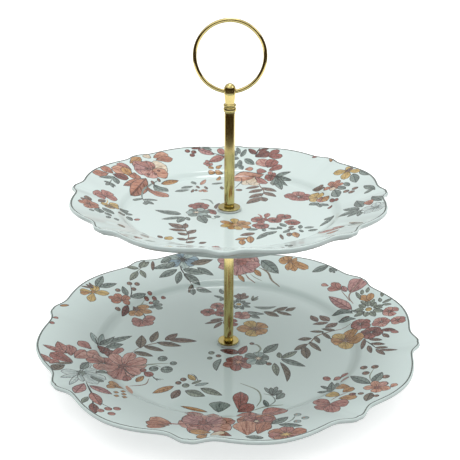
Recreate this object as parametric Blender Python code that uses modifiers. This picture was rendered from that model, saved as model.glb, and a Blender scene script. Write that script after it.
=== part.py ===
"""Two-tier cake stand: two scalloped plates on a screwed brass stem with a ring handle.

Run with: blender --background --python part.py
Sizes are in millimetres in the constants and become metres in the meshes. The stand rests on z = 0, its stem on the
Z axis, and the ring handle lies in the XZ plane.
"""

import math
from collections import namedtuple

import bmesh
import bpy
from mathutils import Matrix, Vector

MM = 0.001

# Clearances
SEAT_GAP = 0.25  # between two faces that rest on each other
BORE_GAP = 0.3  # all round a screw or stud that passes through a hole
THREAD_GAP = 0.15  # all round a stud in its thread, and a bush in its tube

# Plates
LOBES = 8
LOBE_SHARE = 0.077  # how far the outline drops in from the middle of a lobe to its end, as a share of the radius
LOBE_ROUNDNESS = 1.67
TIP_SHARE = 0.07  # height of the small bracket tip between two lobes
TIP_HALF_ANGLE = 4.4  # degrees
PLATE_SIDES = 96
CROWDING = 0.5  # 0 spaces the sides evenly, nearly 1 crowds them at the tips
PLATE_HOLE_RADIUS = 3.5
EDGE_BULGE = 1.2  # the round lip stands out this far from the crest
EDGE_WIDEST_AT = 1.2  # and is widest this far under it
EDGE_THICKNESS = 3.0
EDGE_UNDERCUT = 0.7  # the lip's lower end is drawn in this far from its widest
MARLY_WALL = 3.6
MARLY_FLARE = 0.1  # share of the marly's rise that turns up towards its edge
COVE_STEPS = 3
MARLY_STEPS = 3
PLATE_SHARP_ANGLE = 50.0
FOOT_RING_WIDTH = 2.8
FOOT_RING_DRAFT = 1.6

PlateSize = namedtuple(
    "PlateSize", "name radius turn well_radius cove_width cove_rise marly_rise wall foot_radius foot_depth"
)
LOWER_PLATE = PlateSize("lower_plate", 134.0, -9.8, 86.5, 10.0, 4.0, 11.4, 4.0, 82.0, 5.3)
UPPER_PLATE = PlateSize("upper_plate", 105.0, -1.9, 67.5, 8.0, 3.6, 11.8, 4.0, 62.5, 4.3)
TIER_SPACING = 103.1  # from the lower well floor to the upper well floor

# Stem
ROD_RADIUS = 3.45
ROD_WALL = 0.6
UPPER_ROD_LENGTH = 63.6
BUSH_LENGTH = 8.0
BUSH_RECESS = 0.5
STUD_RADIUS = 2.0
STUD_CHAMFER = 0.4
STUD_SHORT_OF_BUSH = 0.7  # the stud ends this far inside the far end of its bush
DISC_RADIUS = 7.45
DISC_THICKNESS = 1.2
DISC_EDGE = 0.4
GASKET_RADIUS = 8.2
GASKET_THICKNESS = 1.0
GASKET_EDGE = 0.2
BOTTOM_WASHER_RADIUS = 9.0
BOTTOM_WASHER_THICKNESS = 0.8
SCREW_HEAD_RADIUS = 4.0
SCREW_HEAD_HEIGHT = 2.0
CROSS_LENGTH = 4.4
CROSS_WIDTH = 0.9
CROSS_DEPTH = 1.2

# Finial and ring
FINIAL_HEIGHT = 18.8
BEAD_RADIUS = 4.25
LOWER_BEAD_CENTRE = 1.9
LOWER_BEAD_HALF_HEIGHT = 1.6
UPPER_BEAD_CENTRE = 4.7
UPPER_BEAD_HALF_HEIGHT = 1.1
NECK_BOTTOM_RADIUS = 3.05
FINIAL_SEAT_RADIUS = ROD_RADIUS - 0.1
HEAD_RADIUS = 3.85
HEAD_BOTTOM = 12.4
DOME_BOTTOM = 14.6
RING_WIRE_RADIUS = 1.3
RING_MEAN_RADIUS = 22.1
RING_PASSES_AT = 13.3  # height of the wire's centre in the finial
FINIAL_THREAD_DEPTH = 8.5

ROUND_SIDES = 24
EDGE_STEPS = 2
BEAD_STEPS = 6
DOME_STEPS = 8
SHARP_ANGLE = 35.0
RING_SIDES = 60
WIRE_SIDES = 10

# Heights worked out from the stack, floor upwards
LOWER_UNDERSIDE = LOWER_PLATE.foot_depth
LOWER_WELL = LOWER_UNDERSIDE + LOWER_PLATE.wall
UPPER_WELL = LOWER_WELL + TIER_SPACING
UPPER_UNDERSIDE = UPPER_WELL - UPPER_PLATE.wall
UPPER_BASE = UPPER_UNDERSIDE - UPPER_PLATE.foot_depth

BOTTOM_GASKET_TOP = LOWER_UNDERSIDE - SEAT_GAP
BOTTOM_WASHER_TOP = BOTTOM_GASKET_TOP - GASKET_THICKNESS - SEAT_GAP
SCREW_HEAD_TOP = BOTTOM_WASHER_TOP - BOTTOM_WASHER_THICKNESS - SEAT_GAP

LOWER_GASKET_BASE = LOWER_WELL + SEAT_GAP
LOWER_DISC_BASE = LOWER_GASKET_BASE + GASKET_THICKNESS + SEAT_GAP
LOWER_ROD_BASE = LOWER_DISC_BASE + DISC_THICKNESS + SEAT_GAP

UNDER_GASKET_BASE = UPPER_UNDERSIDE - SEAT_GAP - GASKET_THICKNESS
SUPPORT_WASHER_BASE = UNDER_GASKET_BASE - SEAT_GAP - DISC_THICKNESS
LOWER_ROD_TOP = SUPPORT_WASHER_BASE - SEAT_GAP

UPPER_GASKET_BASE = UPPER_WELL + SEAT_GAP
UPPER_DISC_BASE = UPPER_GASKET_BASE + GASKET_THICKNESS + SEAT_GAP
UPPER_ROD_BASE = UPPER_DISC_BASE + DISC_THICKNESS + SEAT_GAP
UPPER_ROD_TOP = UPPER_ROD_BASE + UPPER_ROD_LENGTH

FINIAL_BASE = UPPER_ROD_TOP + SEAT_GAP
RING_CENTRE = FINIAL_BASE + RING_PASSES_AT + RING_MEAN_RADIUS

PIECES = "tiered_cake_stand"
CUTTERS = "cutters"


def clear_scene():
    for item in list(bpy.data.objects):
        bpy.data.objects.remove(item)


def collection(name):
    group = bpy.data.collections.new(name)
    bpy.context.scene.collection.children.link(group)
    return group


def material(name, colour, roughness, metallic=0.0):
    finish = bpy.data.materials.new(name)
    finish.use_nodes = True
    shader = finish.node_tree.nodes["Principled BSDF"]
    shader.inputs["Base Color"].default_value = (*colour, 1.0)
    shader.inputs["Roughness"].default_value = roughness
    shader.inputs["Metallic"].default_value = metallic
    finish.diffuse_color = (*colour, 1.0)
    return finish


def glazed_ceramic(name):
    return material(name, (0.72, 0.78, 0.76), 0.12)


def brass(name):
    return material(name, (0.66, 0.53, 0.24), 0.25, 1.0)


def zinc_plated_steel(name):
    return material(name, (0.55, 0.55, 0.56), 0.35, 1.0)


def clear_silicone(name):
    return material(name, (0.80, 0.83, 0.82), 0.4)


def place(name, mesh, finish, z=0.0):
    """A new object on the stem's axis, z millimetres up, in the stand's collection."""
    item = bpy.data.objects.new(name, mesh)
    item.location.z = z * MM
    item.data.materials.append(finish)
    bpy.data.collections[PIECES].objects.link(item)
    return item


def shade_round(mesh, sharp_angle=SHARP_ANGLE):
    mesh.shade_smooth()
    mesh.set_sharp_from_angle(angle=math.radians(sharp_angle))


def apply_modifiers(item):
    """The object's evaluated mesh takes the place of its mesh and modifiers."""
    graph = bpy.context.evaluated_depsgraph_get()
    item.data = bpy.data.meshes.new_from_object(item.evaluated_get(graph))
    item.modifiers.clear()


def turned(name, profile, finish, z=0.0):
    """A piece turned about Z, from an outline of (radius, height) in millimetres.

    The outline runs down the outer side, top to bottom. It is closed into a ring when it stays off the axis.
    """
    mesh = bpy.data.meshes.new(name)
    shape = bmesh.new()
    corners = [shape.verts.new((radius * MM, 0.0, height * MM)) for radius, height in profile]
    for first, second in zip(corners, corners[1:]):
        shape.edges.new((first, second))
    if min(radius for radius, _ in profile) > 0.0:
        shape.edges.new((corners[-1], corners[0]))
    shape.to_mesh(mesh)
    shape.free()
    item = place(name, mesh, finish, z)
    screw = item.modifiers.new("turn", "SCREW")
    screw.axis = "Z"
    screw.steps = ROUND_SIDES
    screw.render_steps = ROUND_SIDES
    screw.use_merge_vertices = True
    screw.merge_threshold = 0.00001
    screw.use_smooth_shade = True
    apply_modifiers(item)
    shade_round(item.data)
    return item


def arc(centre, radii, start, end, steps):
    """Points on an ellipse quarter or less, from start to end degrees."""
    points = []
    for step in range(steps + 1):
        angle = math.radians(start + (end - start) * step / steps)
        points.append((centre[0] + radii[0] * math.cos(angle), centre[1] + radii[1] * math.sin(angle)))
    return points


def rounded_disc(name, outer, inner, thickness, edge, finish, z):
    """A flat ring with a rounded outer edge: washers, gaskets and the discs under the rods."""
    profile = [(inner, thickness)]
    profile += arc((outer - edge, thickness - edge), (edge, edge), 90.0, 0.0, EDGE_STEPS)
    profile += arc((outer - edge, edge), (edge, edge), 0.0, -90.0, EDGE_STEPS)
    profile += [(inner, 0.0)]
    return turned(name, profile, finish, z)


def tube(name, outer, inner, length, finish, z):
    return turned(name, [(inner, length), (outer, length), (outer, 0.0), (inner, 0.0)], finish, z)


def outline_share(degrees):
    """Radius of the scalloped outline as a share of the radius over the lobes; a tip is at 0 degrees."""
    step = 360.0 / LOBES
    from_tip = abs((degrees + step / 2) % step - step / 2)
    from_middle = 1.0 - from_tip / (step / 2)
    tip = TIP_SHARE * math.exp(-((from_tip / TIP_HALF_ANGLE) ** 2))
    return 1.0 - LOBE_SHARE * from_middle**LOBE_ROUNDNESS + tip


def top_height(plate, radius):
    """Height of the glazed top over the well floor, at a radius of the round blank."""
    along_cove = min(max((radius - plate.well_radius) / plate.cove_width, 0.0), 1.0)
    cove = plate.cove_rise * along_cove * along_cove * (3.0 - 2.0 * along_cove)
    start = plate.well_radius + plate.cove_width / 2
    along_marly = min(max((radius - start) / (plate.radius - start), 0.0), 1.0)
    flare = 1.0 - MARLY_FLARE * (1.0 - along_marly)
    return cove + plate.marly_rise * along_marly * flare


def plate_profile(plate):
    """Outline of the round blank, from the hole out over the top, round the lip and back under the foot ring."""
    floor = plate.foot_depth + plate.wall
    cove_top = plate.well_radius + plate.cove_width
    marly_width = plate.radius - cove_top
    top_radii = [PLATE_HOLE_RADIUS, plate.well_radius]
    for step in range(1, COVE_STEPS + 1):
        top_radii.append(plate.well_radius + plate.cove_width * step / COVE_STEPS)
    for step in range(1, MARLY_STEPS + 1):
        top_radii.append(cove_top + marly_width * step / MARLY_STEPS)
    points = [(radius, floor + top_height(plate, radius)) for radius in top_radii]
    crest = points[-1][1]
    widest = plate.radius + EDGE_BULGE
    points.append((widest, crest - EDGE_WIDEST_AT))
    points.append((widest - EDGE_UNDERCUT, crest - EDGE_THICKNESS))
    for radius in (cove_top + marly_width / 2, cove_top):
        points.append((radius, floor + top_height(plate, radius) - MARLY_WALL))
    points.append((plate.foot_radius + FOOT_RING_DRAFT, plate.foot_depth))
    points.append((plate.foot_radius, 0.0))
    points.append((plate.foot_radius - FOOT_RING_WIDTH, 0.0))
    points.append((plate.foot_radius - FOOT_RING_WIDTH - FOOT_RING_DRAFT, plate.foot_depth))
    points.append((PLATE_HOLE_RADIUS, plate.foot_depth))
    return points


def scallop(shape, plate):
    """Crowds the blank's sides at the tips, turns it and draws its edge in to the scalloped outline."""
    cove_top = plate.well_radius + plate.cove_width
    step = 360.0 / LOBES
    for corner in shape.verts:
        radius = math.hypot(corner.co.x, corner.co.y) / MM
        angle = math.degrees(math.atan2(corner.co.y, corner.co.x))
        angle -= CROWDING * step / 360.0 * math.degrees(math.sin(math.radians(angle * LOBES)))
        if radius > cove_top:
            reach = plate.radius * outline_share(angle) - cove_top
            radius = cove_top + (radius - cove_top) * reach / (plate.radius - cove_top)
        turned_angle = math.radians(angle + plate.turn)
        corner.co.x = radius * math.cos(turned_angle) * MM
        corner.co.y = radius * math.sin(turned_angle) * MM


def make_plate(plate, z):
    mesh = bpy.data.meshes.new(plate.name)
    shape = bmesh.new()
    profile = plate_profile(plate)
    corners = [shape.verts.new((radius * MM, 0.0, height * MM)) for radius, height in profile]
    for index, corner in enumerate(corners):
        shape.edges.new((corner, corners[index - 1]))
    bmesh.ops.spin(
        shape,
        geom=shape.verts[:] + shape.edges[:],
        cent=(0.0, 0.0, 0.0),
        axis=(0.0, 0.0, 1.0),
        angle=2 * math.pi,
        steps=PLATE_SIDES,
        use_merge=True,
    )
    scallop(shape, plate)
    bmesh.ops.recalc_face_normals(shape, faces=shape.faces)
    shape.to_mesh(mesh)
    shape.free()
    item = place(plate.name, mesh, glazed_ceramic(plate.name + "_glaze"), z)
    shade_round(item.data, PLATE_SHARP_ANGLE)
    return item


def make_bottom_fixing():
    """The screw, washer and gasket in the recess of the lower foot ring."""
    bore = STUD_RADIUS + BORE_GAP
    rounded_disc(
        "bottom_gasket", GASKET_RADIUS, bore, GASKET_THICKNESS, GASKET_EDGE,
        clear_silicone("bottom_gasket_silicone"), BOTTOM_GASKET_TOP - GASKET_THICKNESS,
    )
    rounded_disc(
        "bottom_washer", BOTTOM_WASHER_RADIUS, bore, BOTTOM_WASHER_THICKNESS, GASKET_EDGE,
        zinc_plated_steel("bottom_washer_zinc"), BOTTOM_WASHER_TOP - BOTTOM_WASHER_THICKNESS,
    )
    shank_top = LOWER_ROD_BASE + BUSH_RECESS + BUSH_LENGTH - STUD_SHORT_OF_BUSH - SCREW_HEAD_TOP
    dome = arc((0.0, 0.0), (SCREW_HEAD_RADIUS, -SCREW_HEAD_HEIGHT), 0.0, 90.0, DOME_STEPS)
    profile = [(0.0, shank_top), (STUD_RADIUS - STUD_CHAMFER, shank_top)]
    profile += [(STUD_RADIUS, shank_top - STUD_CHAMFER)]
    profile += [(STUD_RADIUS, 0.0)] + dome[:-1] + [(0.0, -SCREW_HEAD_HEIGHT)]
    screw = turned("bottom_screw", profile, zinc_plated_steel("bottom_screw_zinc"), SCREW_HEAD_TOP)
    for index in range(2):
        size = (CROSS_LENGTH, CROSS_WIDTH) if index == 0 else (CROSS_WIDTH, CROSS_LENGTH)
        slot = box_cutter("cross_slot", size, SCREW_HEAD_TOP - SCREW_HEAD_HEIGHT)
        cut(screw, slot)


def box_cutter(name, size, z):
    """A box of the cross recess, its middle at the height of the screw's lowest point."""
    mesh = bpy.data.meshes.new(name)
    shape = bmesh.new()
    scale = Matrix.Diagonal((size[0] * MM, size[1] * MM, 2 * CROSS_DEPTH * MM, 1.0))
    bmesh.ops.create_cube(shape, size=1.0, matrix=scale)
    shape.to_mesh(mesh)
    shape.free()
    return cutter(name, mesh, z)


def cutter(name, mesh, z):
    item = bpy.data.objects.new(name, mesh)
    item.location.z = z * MM
    item.hide_render = True
    item.display_type = "WIRE"
    bpy.data.collections[CUTTERS].objects.link(item)
    return item


def cut(item, tool):
    boolean = item.modifiers.new("cut_" + tool.name, "BOOLEAN")
    boolean.operation = "DIFFERENCE"
    boolean.solver = "EXACT"
    boolean.object = tool


def make_discs_and_gaskets():
    bore = STUD_RADIUS + BORE_GAP
    gaskets = {
        "lower_top_gasket": LOWER_GASKET_BASE,
        "upper_bottom_gasket": UNDER_GASKET_BASE,
        "upper_top_gasket": UPPER_GASKET_BASE,
    }
    for name, z in gaskets.items():
        finish = clear_silicone(name + "_silicone")
        rounded_disc(name, GASKET_RADIUS, bore, GASKET_THICKNESS, GASKET_EDGE, finish, z)
    discs = {
        "lower_rod_foot": LOWER_DISC_BASE,
        "support_washer": SUPPORT_WASHER_BASE,
        "upper_rod_foot": UPPER_DISC_BASE,
    }
    for name, z in discs.items():
        rounded_disc(name, DISC_RADIUS, bore, DISC_THICKNESS, DISC_EDGE, brass(name + "_brass"), z)


def make_rod(name, base, top):
    """A tube with a threaded bush pressed into each end."""
    inner = ROD_RADIUS - ROD_WALL
    tube(name, ROD_RADIUS, inner, top - base, brass(name + "_brass"), base)
    bushes = {
        name + "_bottom_bush": base + BUSH_RECESS,
        name + "_top_bush": top - BUSH_RECESS - BUSH_LENGTH,
    }
    for bush, z in bushes.items():
        finish = zinc_plated_steel(bush + "_zinc")
        tube(bush, inner - THREAD_GAP, STUD_RADIUS + THREAD_GAP, BUSH_LENGTH, finish, z)


def make_stud(name, base, top):
    """A threaded stud, stood in for by its outer cylinder with chamfered ends."""
    length = top - base
    tip = STUD_RADIUS - STUD_CHAMFER
    profile = [
        (0.0, length), (tip, length), (STUD_RADIUS, length - STUD_CHAMFER),
        (STUD_RADIUS, STUD_CHAMFER), (tip, 0.0), (0.0, 0.0),
    ]
    turned(name, profile, zinc_plated_steel(name + "_zinc"), base)


def make_studs():
    reach = BUSH_RECESS + BUSH_LENGTH - STUD_SHORT_OF_BUSH
    make_stud("middle_stud", LOWER_ROD_TOP - reach, UPPER_ROD_BASE + reach)
    thread_top = FINIAL_BASE + FINIAL_THREAD_DEPTH - STUD_SHORT_OF_BUSH
    make_stud("finial_stud", UPPER_ROD_TOP - reach, thread_top)


def bead(centre, half_height, waist):
    """A bead from its top down to its bottom, between points at the waist radius."""
    return arc((waist, centre), (BEAD_RADIUS - waist, half_height), 90.0, -90.0, BEAD_STEPS)


def make_finial():
    """Domed head, tapering neck and two beads, bored for the ring and threaded from below."""
    bore = STUD_RADIUS + THREAD_GAP
    profile = arc((0.0, DOME_BOTTOM), (HEAD_RADIUS, FINIAL_HEIGHT - DOME_BOTTOM), 90.0, 0.0, DOME_STEPS)
    profile[0] = (0.0, FINIAL_HEIGHT)
    profile += [(HEAD_RADIUS, HEAD_BOTTOM)]
    profile += bead(UPPER_BEAD_CENTRE, UPPER_BEAD_HALF_HEIGHT, NECK_BOTTOM_RADIUS)
    profile += bead(LOWER_BEAD_CENTRE, LOWER_BEAD_HALF_HEIGHT, FINIAL_SEAT_RADIUS)
    profile += [(FINIAL_SEAT_RADIUS, 0.0), (bore, 0.0)]
    profile += [(bore, FINIAL_THREAD_DEPTH), (0.0, FINIAL_THREAD_DEPTH)]
    finial = turned("finial", profile, brass("finial_brass"), FINIAL_BASE)
    tool = ring_mesh("ring_passage", RING_WIRE_RADIUS + BORE_GAP)
    cut(finial, cutter("ring_passage", tool, RING_CENTRE))


def ring_mesh(name, wire_radius):
    """A torus in the XZ plane, its centre at the origin."""
    bpy.ops.mesh.primitive_torus_add(
        major_radius=RING_MEAN_RADIUS * MM,
        minor_radius=wire_radius * MM,
        major_segments=RING_SIDES,
        minor_segments=WIRE_SIDES,
        location=(0.0, 0.0, 0.0),
    )
    helper = bpy.context.object
    mesh = helper.data
    mesh.name = name
    mesh.transform(Matrix.Rotation(math.radians(90.0), 4, Vector((1.0, 0.0, 0.0))))
    bpy.data.objects.remove(helper)
    return mesh


def make_ring_handle():
    mesh = ring_mesh("ring_handle", RING_WIRE_RADIUS)
    place("ring_handle", mesh, brass("ring_handle_brass"), RING_CENTRE)
    mesh.shade_smooth()


def main():
    clear_scene()
    collection(PIECES)
    collection(CUTTERS)
    make_plate(LOWER_PLATE, 0.0)
    make_plate(UPPER_PLATE, UPPER_BASE)
    make_bottom_fixing()
    make_discs_and_gaskets()
    make_rod("lower_rod", LOWER_ROD_BASE, LOWER_ROD_TOP)
    make_rod("upper_rod", UPPER_ROD_BASE, UPPER_ROD_TOP)
    make_studs()
    make_finial()
    make_ring_handle()


main()
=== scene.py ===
"""Two-tier porcelain cake stand: the looks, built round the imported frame.

Sizes in the property groups are in metres. Places in the painted print are in millimetres on plan, with X
to the right, Y to the back and the stem at the origin.
"""

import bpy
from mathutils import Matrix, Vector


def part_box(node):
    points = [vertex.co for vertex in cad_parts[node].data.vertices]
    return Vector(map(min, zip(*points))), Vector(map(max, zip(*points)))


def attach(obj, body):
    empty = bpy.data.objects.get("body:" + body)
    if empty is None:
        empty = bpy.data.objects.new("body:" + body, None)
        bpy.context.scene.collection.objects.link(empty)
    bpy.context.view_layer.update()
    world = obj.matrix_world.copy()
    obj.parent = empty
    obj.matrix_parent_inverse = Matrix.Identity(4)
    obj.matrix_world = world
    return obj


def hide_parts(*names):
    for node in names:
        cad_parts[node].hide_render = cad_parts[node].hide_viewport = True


bl_info = {
    "name": "Porcelain Cake Stand",
    "version": (1, 0, 0),
    "blender": (4, 5, 0),
    "location": "View3D > Sidebar > Cake Stand",
    "description": "Two-tier scalloped porcelain cake stand with a painted print and brass fittings",
    "category": "Add Mesh",
}

import math

import bpy
import numpy as np
from mathutils import Matrix, Vector
from mathutils.geometry import delaunay_2d_cdt

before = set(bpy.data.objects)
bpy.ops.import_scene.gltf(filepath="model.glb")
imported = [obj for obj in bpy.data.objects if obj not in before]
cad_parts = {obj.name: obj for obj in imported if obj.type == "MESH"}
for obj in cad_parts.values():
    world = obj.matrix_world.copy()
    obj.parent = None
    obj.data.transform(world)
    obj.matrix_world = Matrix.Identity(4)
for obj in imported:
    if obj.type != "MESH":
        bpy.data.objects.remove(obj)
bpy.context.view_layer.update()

MM = 0.001
LOBES = 8
LOBE_STEP = 360.0 / LOBES


def linear(code):
    """An sRGB hex colour as linear red, green and blue."""
    shares = [int(code[index : index + 2], 16) / 255.0 for index in (1, 3, 5)]
    return tuple(s / 12.92 if s <= 0.04045 else ((s + 0.055) / 1.055) ** 2.4 for s in shares)


def length(name, description, millimetres):
    return bpy.props.FloatProperty(
        name=name, description=description, default=millimetres * MM, min=0.0, unit="LENGTH", precision=5
    )


def colour(name, description, code):
    return bpy.props.FloatVectorProperty(
        name=name, description=description, default=linear(code), size=3, subtype="COLOR", min=0.0, max=1.0
    )


class PlateSizes(bpy.types.PropertyGroup):
    """One plate's outline and section."""

    radius: length("Radius", "Radius of the round blank at the crest of the rim", 134.0)
    turn: bpy.props.FloatProperty(
        name="Turn", description="Angle of the first tip between two lobes", default=0.0, subtype="ANGLE"
    )
    well_radius: length("Well radius", "Radius of the flat well", 86.5)
    cove_width: length("Cove width", "Width of the curve from the well up to the rim", 10.0)
    cove_rise: length("Cove rise", "Height of that curve", 4.0)
    marly_rise: length("Rim rise", "Height that the broad rim climbs", 11.4)
    wall: length("Wall", "Thickness of the well floor", 4.0)
    foot_radius: length("Foot radius", "Outer radius of the foot ring", 82.0)
    foot_depth: length("Foot depth", "Height of the foot ring", 5.3)
    base: length("Base", "Height of the foot ring's lower face", 0.0)


class StandSizes(bpy.types.PropertyGroup):
    """Sizes that the plates share, and those of the brass and the small parts."""

    lower_plate: bpy.props.PointerProperty(type=PlateSizes, name="Lower plate")
    upper_plate: bpy.props.PointerProperty(type=PlateSizes, name="Upper plate")
    hole_radius: length("Plate hole", "Radius of the hole drilled through each plate", 3.5)
    lip: length("Lip", "How far the rounded lip stands out from the crest", 1.2)
    line_width: length("Painted line", "Width of the grey line along the crest", 1.0)
    rim_wall: length("Rim wall", "Thickness of the broad rim", 3.6)
    rod_wall: length("Rod wall", "Wall of the brass tubes", 0.6)
    ring_wire: length("Ring wire", "Radius of the ring handle's wire", 1.3)
    thread_pitch: length("Thread pitch", "Pitch of the M4 threads", 0.7)
    stud_radius: length("Stud radius", "Outer radius of the M4 threads", 2.0)


class StandColours(bpy.types.PropertyGroup):
    """Colours of the glaze, the print's line and the metals."""

    glaze: colour("Glaze", "Pale blue-green white glaze", "#D3E1DE")
    rim_line: colour("Rim line", "Grey line painted along the crest", "#525A55")
    biscuit: colour("Biscuit", "Unglazed foot ring", "#D9D3C6")
    brass: colour("Brass", "Lacquered yellow brass", "#D3C283")
    zinc: colour("Zinc", "Bright zinc plate on steel", "#B9BBBD")
    silicone: colour("Silicone", "Clear silicone gaskets", "#E8EEEC")
    floor: colour("Floor", "Pale studio floor", "#FBFBFB")


# The painted print. Places and sizes are millimetres on plan; each ink is a light and a deep tone.

PLAIN, LEAF, PETAL = 0.0, 0.5, 1.0
INKS = {
    "outline": ("#2F2722", "#1F1A16"),
    "brown": ("#837563", "#3C3228"),
    "umber": ("#8C7263", "#432C23"),
    "slate": ("#89968F", "#3F4B46"),
    "pale_slate": ("#B3C2BE", "#6F837F"),
    "blue": ("#92AAB4", "#42596A"),
    "sage": ("#949D8C", "#434A41"),
    "rose": ("#CDA093", "#87493F"),
    "dusty": ("#BC8479", "#6B352E"),
    "mauve": ("#C0908B", "#6C3B3B"),
    "red": ("#A8665B", "#552722"),
    "wine": ("#87493F", "#3D1D19"),
    "terracotta": ("#BF8268", "#6B3D2E"),
    "peach": ("#D2A087", "#87492F"),
    "ochre": ("#C99A62", "#754722"),
    "mustard": ("#D3B470", "#83662A"),
    "cream": ("#E3D6C1", "#B09A80"),
    "white": ("#D3DEDB", "#8FA0A0"),
}
# the ink that every other petal of a flower is painted in
PARTNER = {
    "rose": "dusty",
    "dusty": "rose",
    "red": "dusty",
    "wine": "red",
    "terracotta": "dusty",
    "mauve": "rose",
    "peach": "terracotta",
    "ochre": "mustard",
    "mustard": "ochre",
    "slate": "pale_slate",
    "blue": "pale_slate",
}
# width of the line drawn round each shape, and how many steps its outline takes
INK_LINE = 0.36
BLADE_STEPS = 9
ROUND_STEPS = 14
STEM_STEPS = 12


class Print:
    """Flat shapes in painting order: an outline in plan, an ink, a kind, and a frame for the brushwork."""

    def __init__(self):
        self.shapes = []

    def lay(self, points, ink, kind=PLAIN, base=(0.0, 0.0), reach=(1.0, 0.0), half_width=1.0):
        self.shapes.append((points, ink, kind, Vector(base), Vector(reach), half_width))

    def blade(self, ink, base, tip, width, bend, skew, fullness, kind):
        """A leaf or petal from its base to its tip, with a drawn line round it.

        Skew moves the widest place toward the tip, and a fullness under 1 makes the sides rounder.
        """
        base, tip = Vector(base), Vector(tip)
        reach = tip - base
        across = Vector((-reach.y, reach.x)).normalized()
        for grow, tone, brushwork in ((INK_LINE, "outline", PLAIN), (0.0, ink, kind)):
            sides = ([], [])
            for step in range(BLADE_STEPS + 1):
                share = step / BLADE_STEPS
                swell = math.sin(math.pi * share**skew) if 0 < step < BLADE_STEPS else 0.0
                uneven = 0.1 if kind == PETAL else 0.04
                ragged = 1.0 + uneven * math.sin(8.0 * share + 3.0 * (base.x + tip.y))
                half = width / 2 * swell**fullness * ragged + grow * (0 < step < BLADE_STEPS)
                middle = base + reach * share + across * bend * reach.length * 4 * share * (1 - share)
                middle += reach.normalized() * grow * 2 * (share - 0.5)
                sides[0].append(middle + across * half)
                sides[1].append(middle - across * half)
            self.lay(sides[1] + sides[0][-2:0:-1], tone, brushwork, base, reach, width / 2)

    def leaf(self, ink, base, tip, width, bend=0.0):
        self.blade(ink, base, tip, width * 0.88, bend, 0.9, 1.0, LEAF)

    def petal(self, ink, base, tip, width, bend=0.0):
        self.blade(ink, base, tip, width * 0.94, bend, 1.5, 0.62, PETAL)

    def leaves(self, ink, *placed):
        """Leaves of one ink, each given as its base, its tip, its width and perhaps its bend."""
        for x, y, tip_x, tip_y, width, *bend in placed:
            self.leaf(ink, (x, y), (tip_x, tip_y), width, *bend)

    def petals(self, ink, *placed):
        """Petals of one ink, each given as its base, its tip and its width."""
        for x, y, tip_x, tip_y, width in placed:
            self.petal(ink, (x, y), (tip_x, tip_y), width)

    def fan(self, ink, heart, *tips):
        """Petals out of one heart, each given as its tip and its width."""
        for x, y, width in tips:
            self.petal(ink, heart, (x, y), width)

    def berries(self, ink, *placed):
        """Berries of one ink, each given as its centre and its radius."""
        for x, y, radius in placed:
            self.berry(ink, (x, y), radius)

    def stroke(self, ink, points, width):
        """A brush line through the points, thin at both ends."""
        line = smooth_line([Vector(point) for point in points], STEM_STEPS)
        sides = ([], [])
        for step, point in enumerate(line):
            after = line[min(step + 1, STEM_STEPS)] - line[max(step - 1, 0)]
            across = Vector((-after.y, after.x)).normalized()
            half = width / 2 * (0.35 + 0.65 * math.sin(math.pi * step / STEM_STEPS))
            sides[0].append(point + across * half)
            sides[1].append(point - across * half)
        self.lay(sides[1] + sides[0][::-1], ink)

    def round(self, ink, centre, radius, lobes=0, depth=0.0, line="outline"):
        """A berry, or a small flower painted as one lobed blot."""
        steps = max(ROUND_STEPS, lobes * 6)
        for grow, tone, kind in ((INK_LINE, line, PLAIN), (0.0, ink, PETAL if lobes else LEAF)):
            if not tone:
                continue
            points = []
            for step in range(steps):
                angle = 2 * math.pi * step / steps
                dip = depth * (1 - abs(math.cos(lobes * angle / 2)) ** 0.7) if lobes else 0.0
                out = Vector((math.cos(angle), math.sin(angle)))
                points.append(Vector(centre) + out * (radius * (1 - dip) + grow))
            base = Vector(centre) - Vector((radius, 0.0))
            self.lay(points, tone, kind, base, (2 * radius, 0.0), radius)

    def flower(self, ink, centre, radius, petals=5, turn=0.0, fill=1.0, core="outline", squash=1.0):
        """Separate petals round a centre, each a little unlike the next."""
        centre = Vector(centre)
        for index in range(petals):
            angle = turn + 2 * math.pi * index / petals + 0.16 * math.sin(7.0 * index + centre.x)
            long = radius * (1.0 + 0.16 * math.sin(5.0 * index + turn * 3.0 + centre.y))
            tip = centre + Vector((math.cos(angle) * long, math.sin(angle) * long * squash))
            start = centre + (tip - centre) * 0.08
            width = 2 * math.pi * radius / petals * 0.7 * fill
            tone = PARTNER.get(ink, ink) if index % 2 else ink
            self.petal(tone, start, tip, width, 0.05 * math.sin(3.0 * index))
            self.stroke("outline", (start, start + (tip - start) * 0.38), radius * 0.045)
        if core:
            self.round(core, centre, radius * 0.13, line=None)
            for index in range(petals + 2):
                angle = turn + 2 * math.pi * (index + 0.3) / (petals + 2)
                spot = centre + Vector((math.cos(angle), math.sin(angle) * squash)) * radius * 0.3
                self.stroke(core, (centre, spot), radius * 0.05)

    def rose(self, ink, heart, centre, radius, turn=0.0):
        """A full-blown flower: three rings of petals, each smaller and nearer the heart."""
        for ring, (share, petals, tone) in enumerate(((1.0, 6, ink), (0.72, 6, ink), (0.44, 5, heart))):
            self.flower(tone, centre, radius * share, petals, turn + 0.5 * ring, 1.15, None)
        self.round("cream", centre, radius * 0.1)
        for index in range(7):
            angle = turn + 2 * math.pi * index / 7
            spot = Vector(centre) + Vector((math.cos(angle), math.sin(angle))) * radius * 0.24
            self.round("outline", spot, 0.35, line=None)

    def star(self, ink, centre, radius, petals=8, turn=0.0, core="mustard"):
        """Narrow loose petals round a small centre."""
        centre = Vector(centre)
        for index in range(petals):
            angle = turn + 2 * math.pi * index / petals
            out = Vector((math.cos(angle), math.sin(angle)))
            reach = radius * (0.85 + 0.15 * math.sin(4.0 * index + turn))
            self.leaf(ink, centre + out * radius * 0.28, centre + out * reach, radius * 0.38)
        self.round(core, centre, radius * 0.17)

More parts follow.
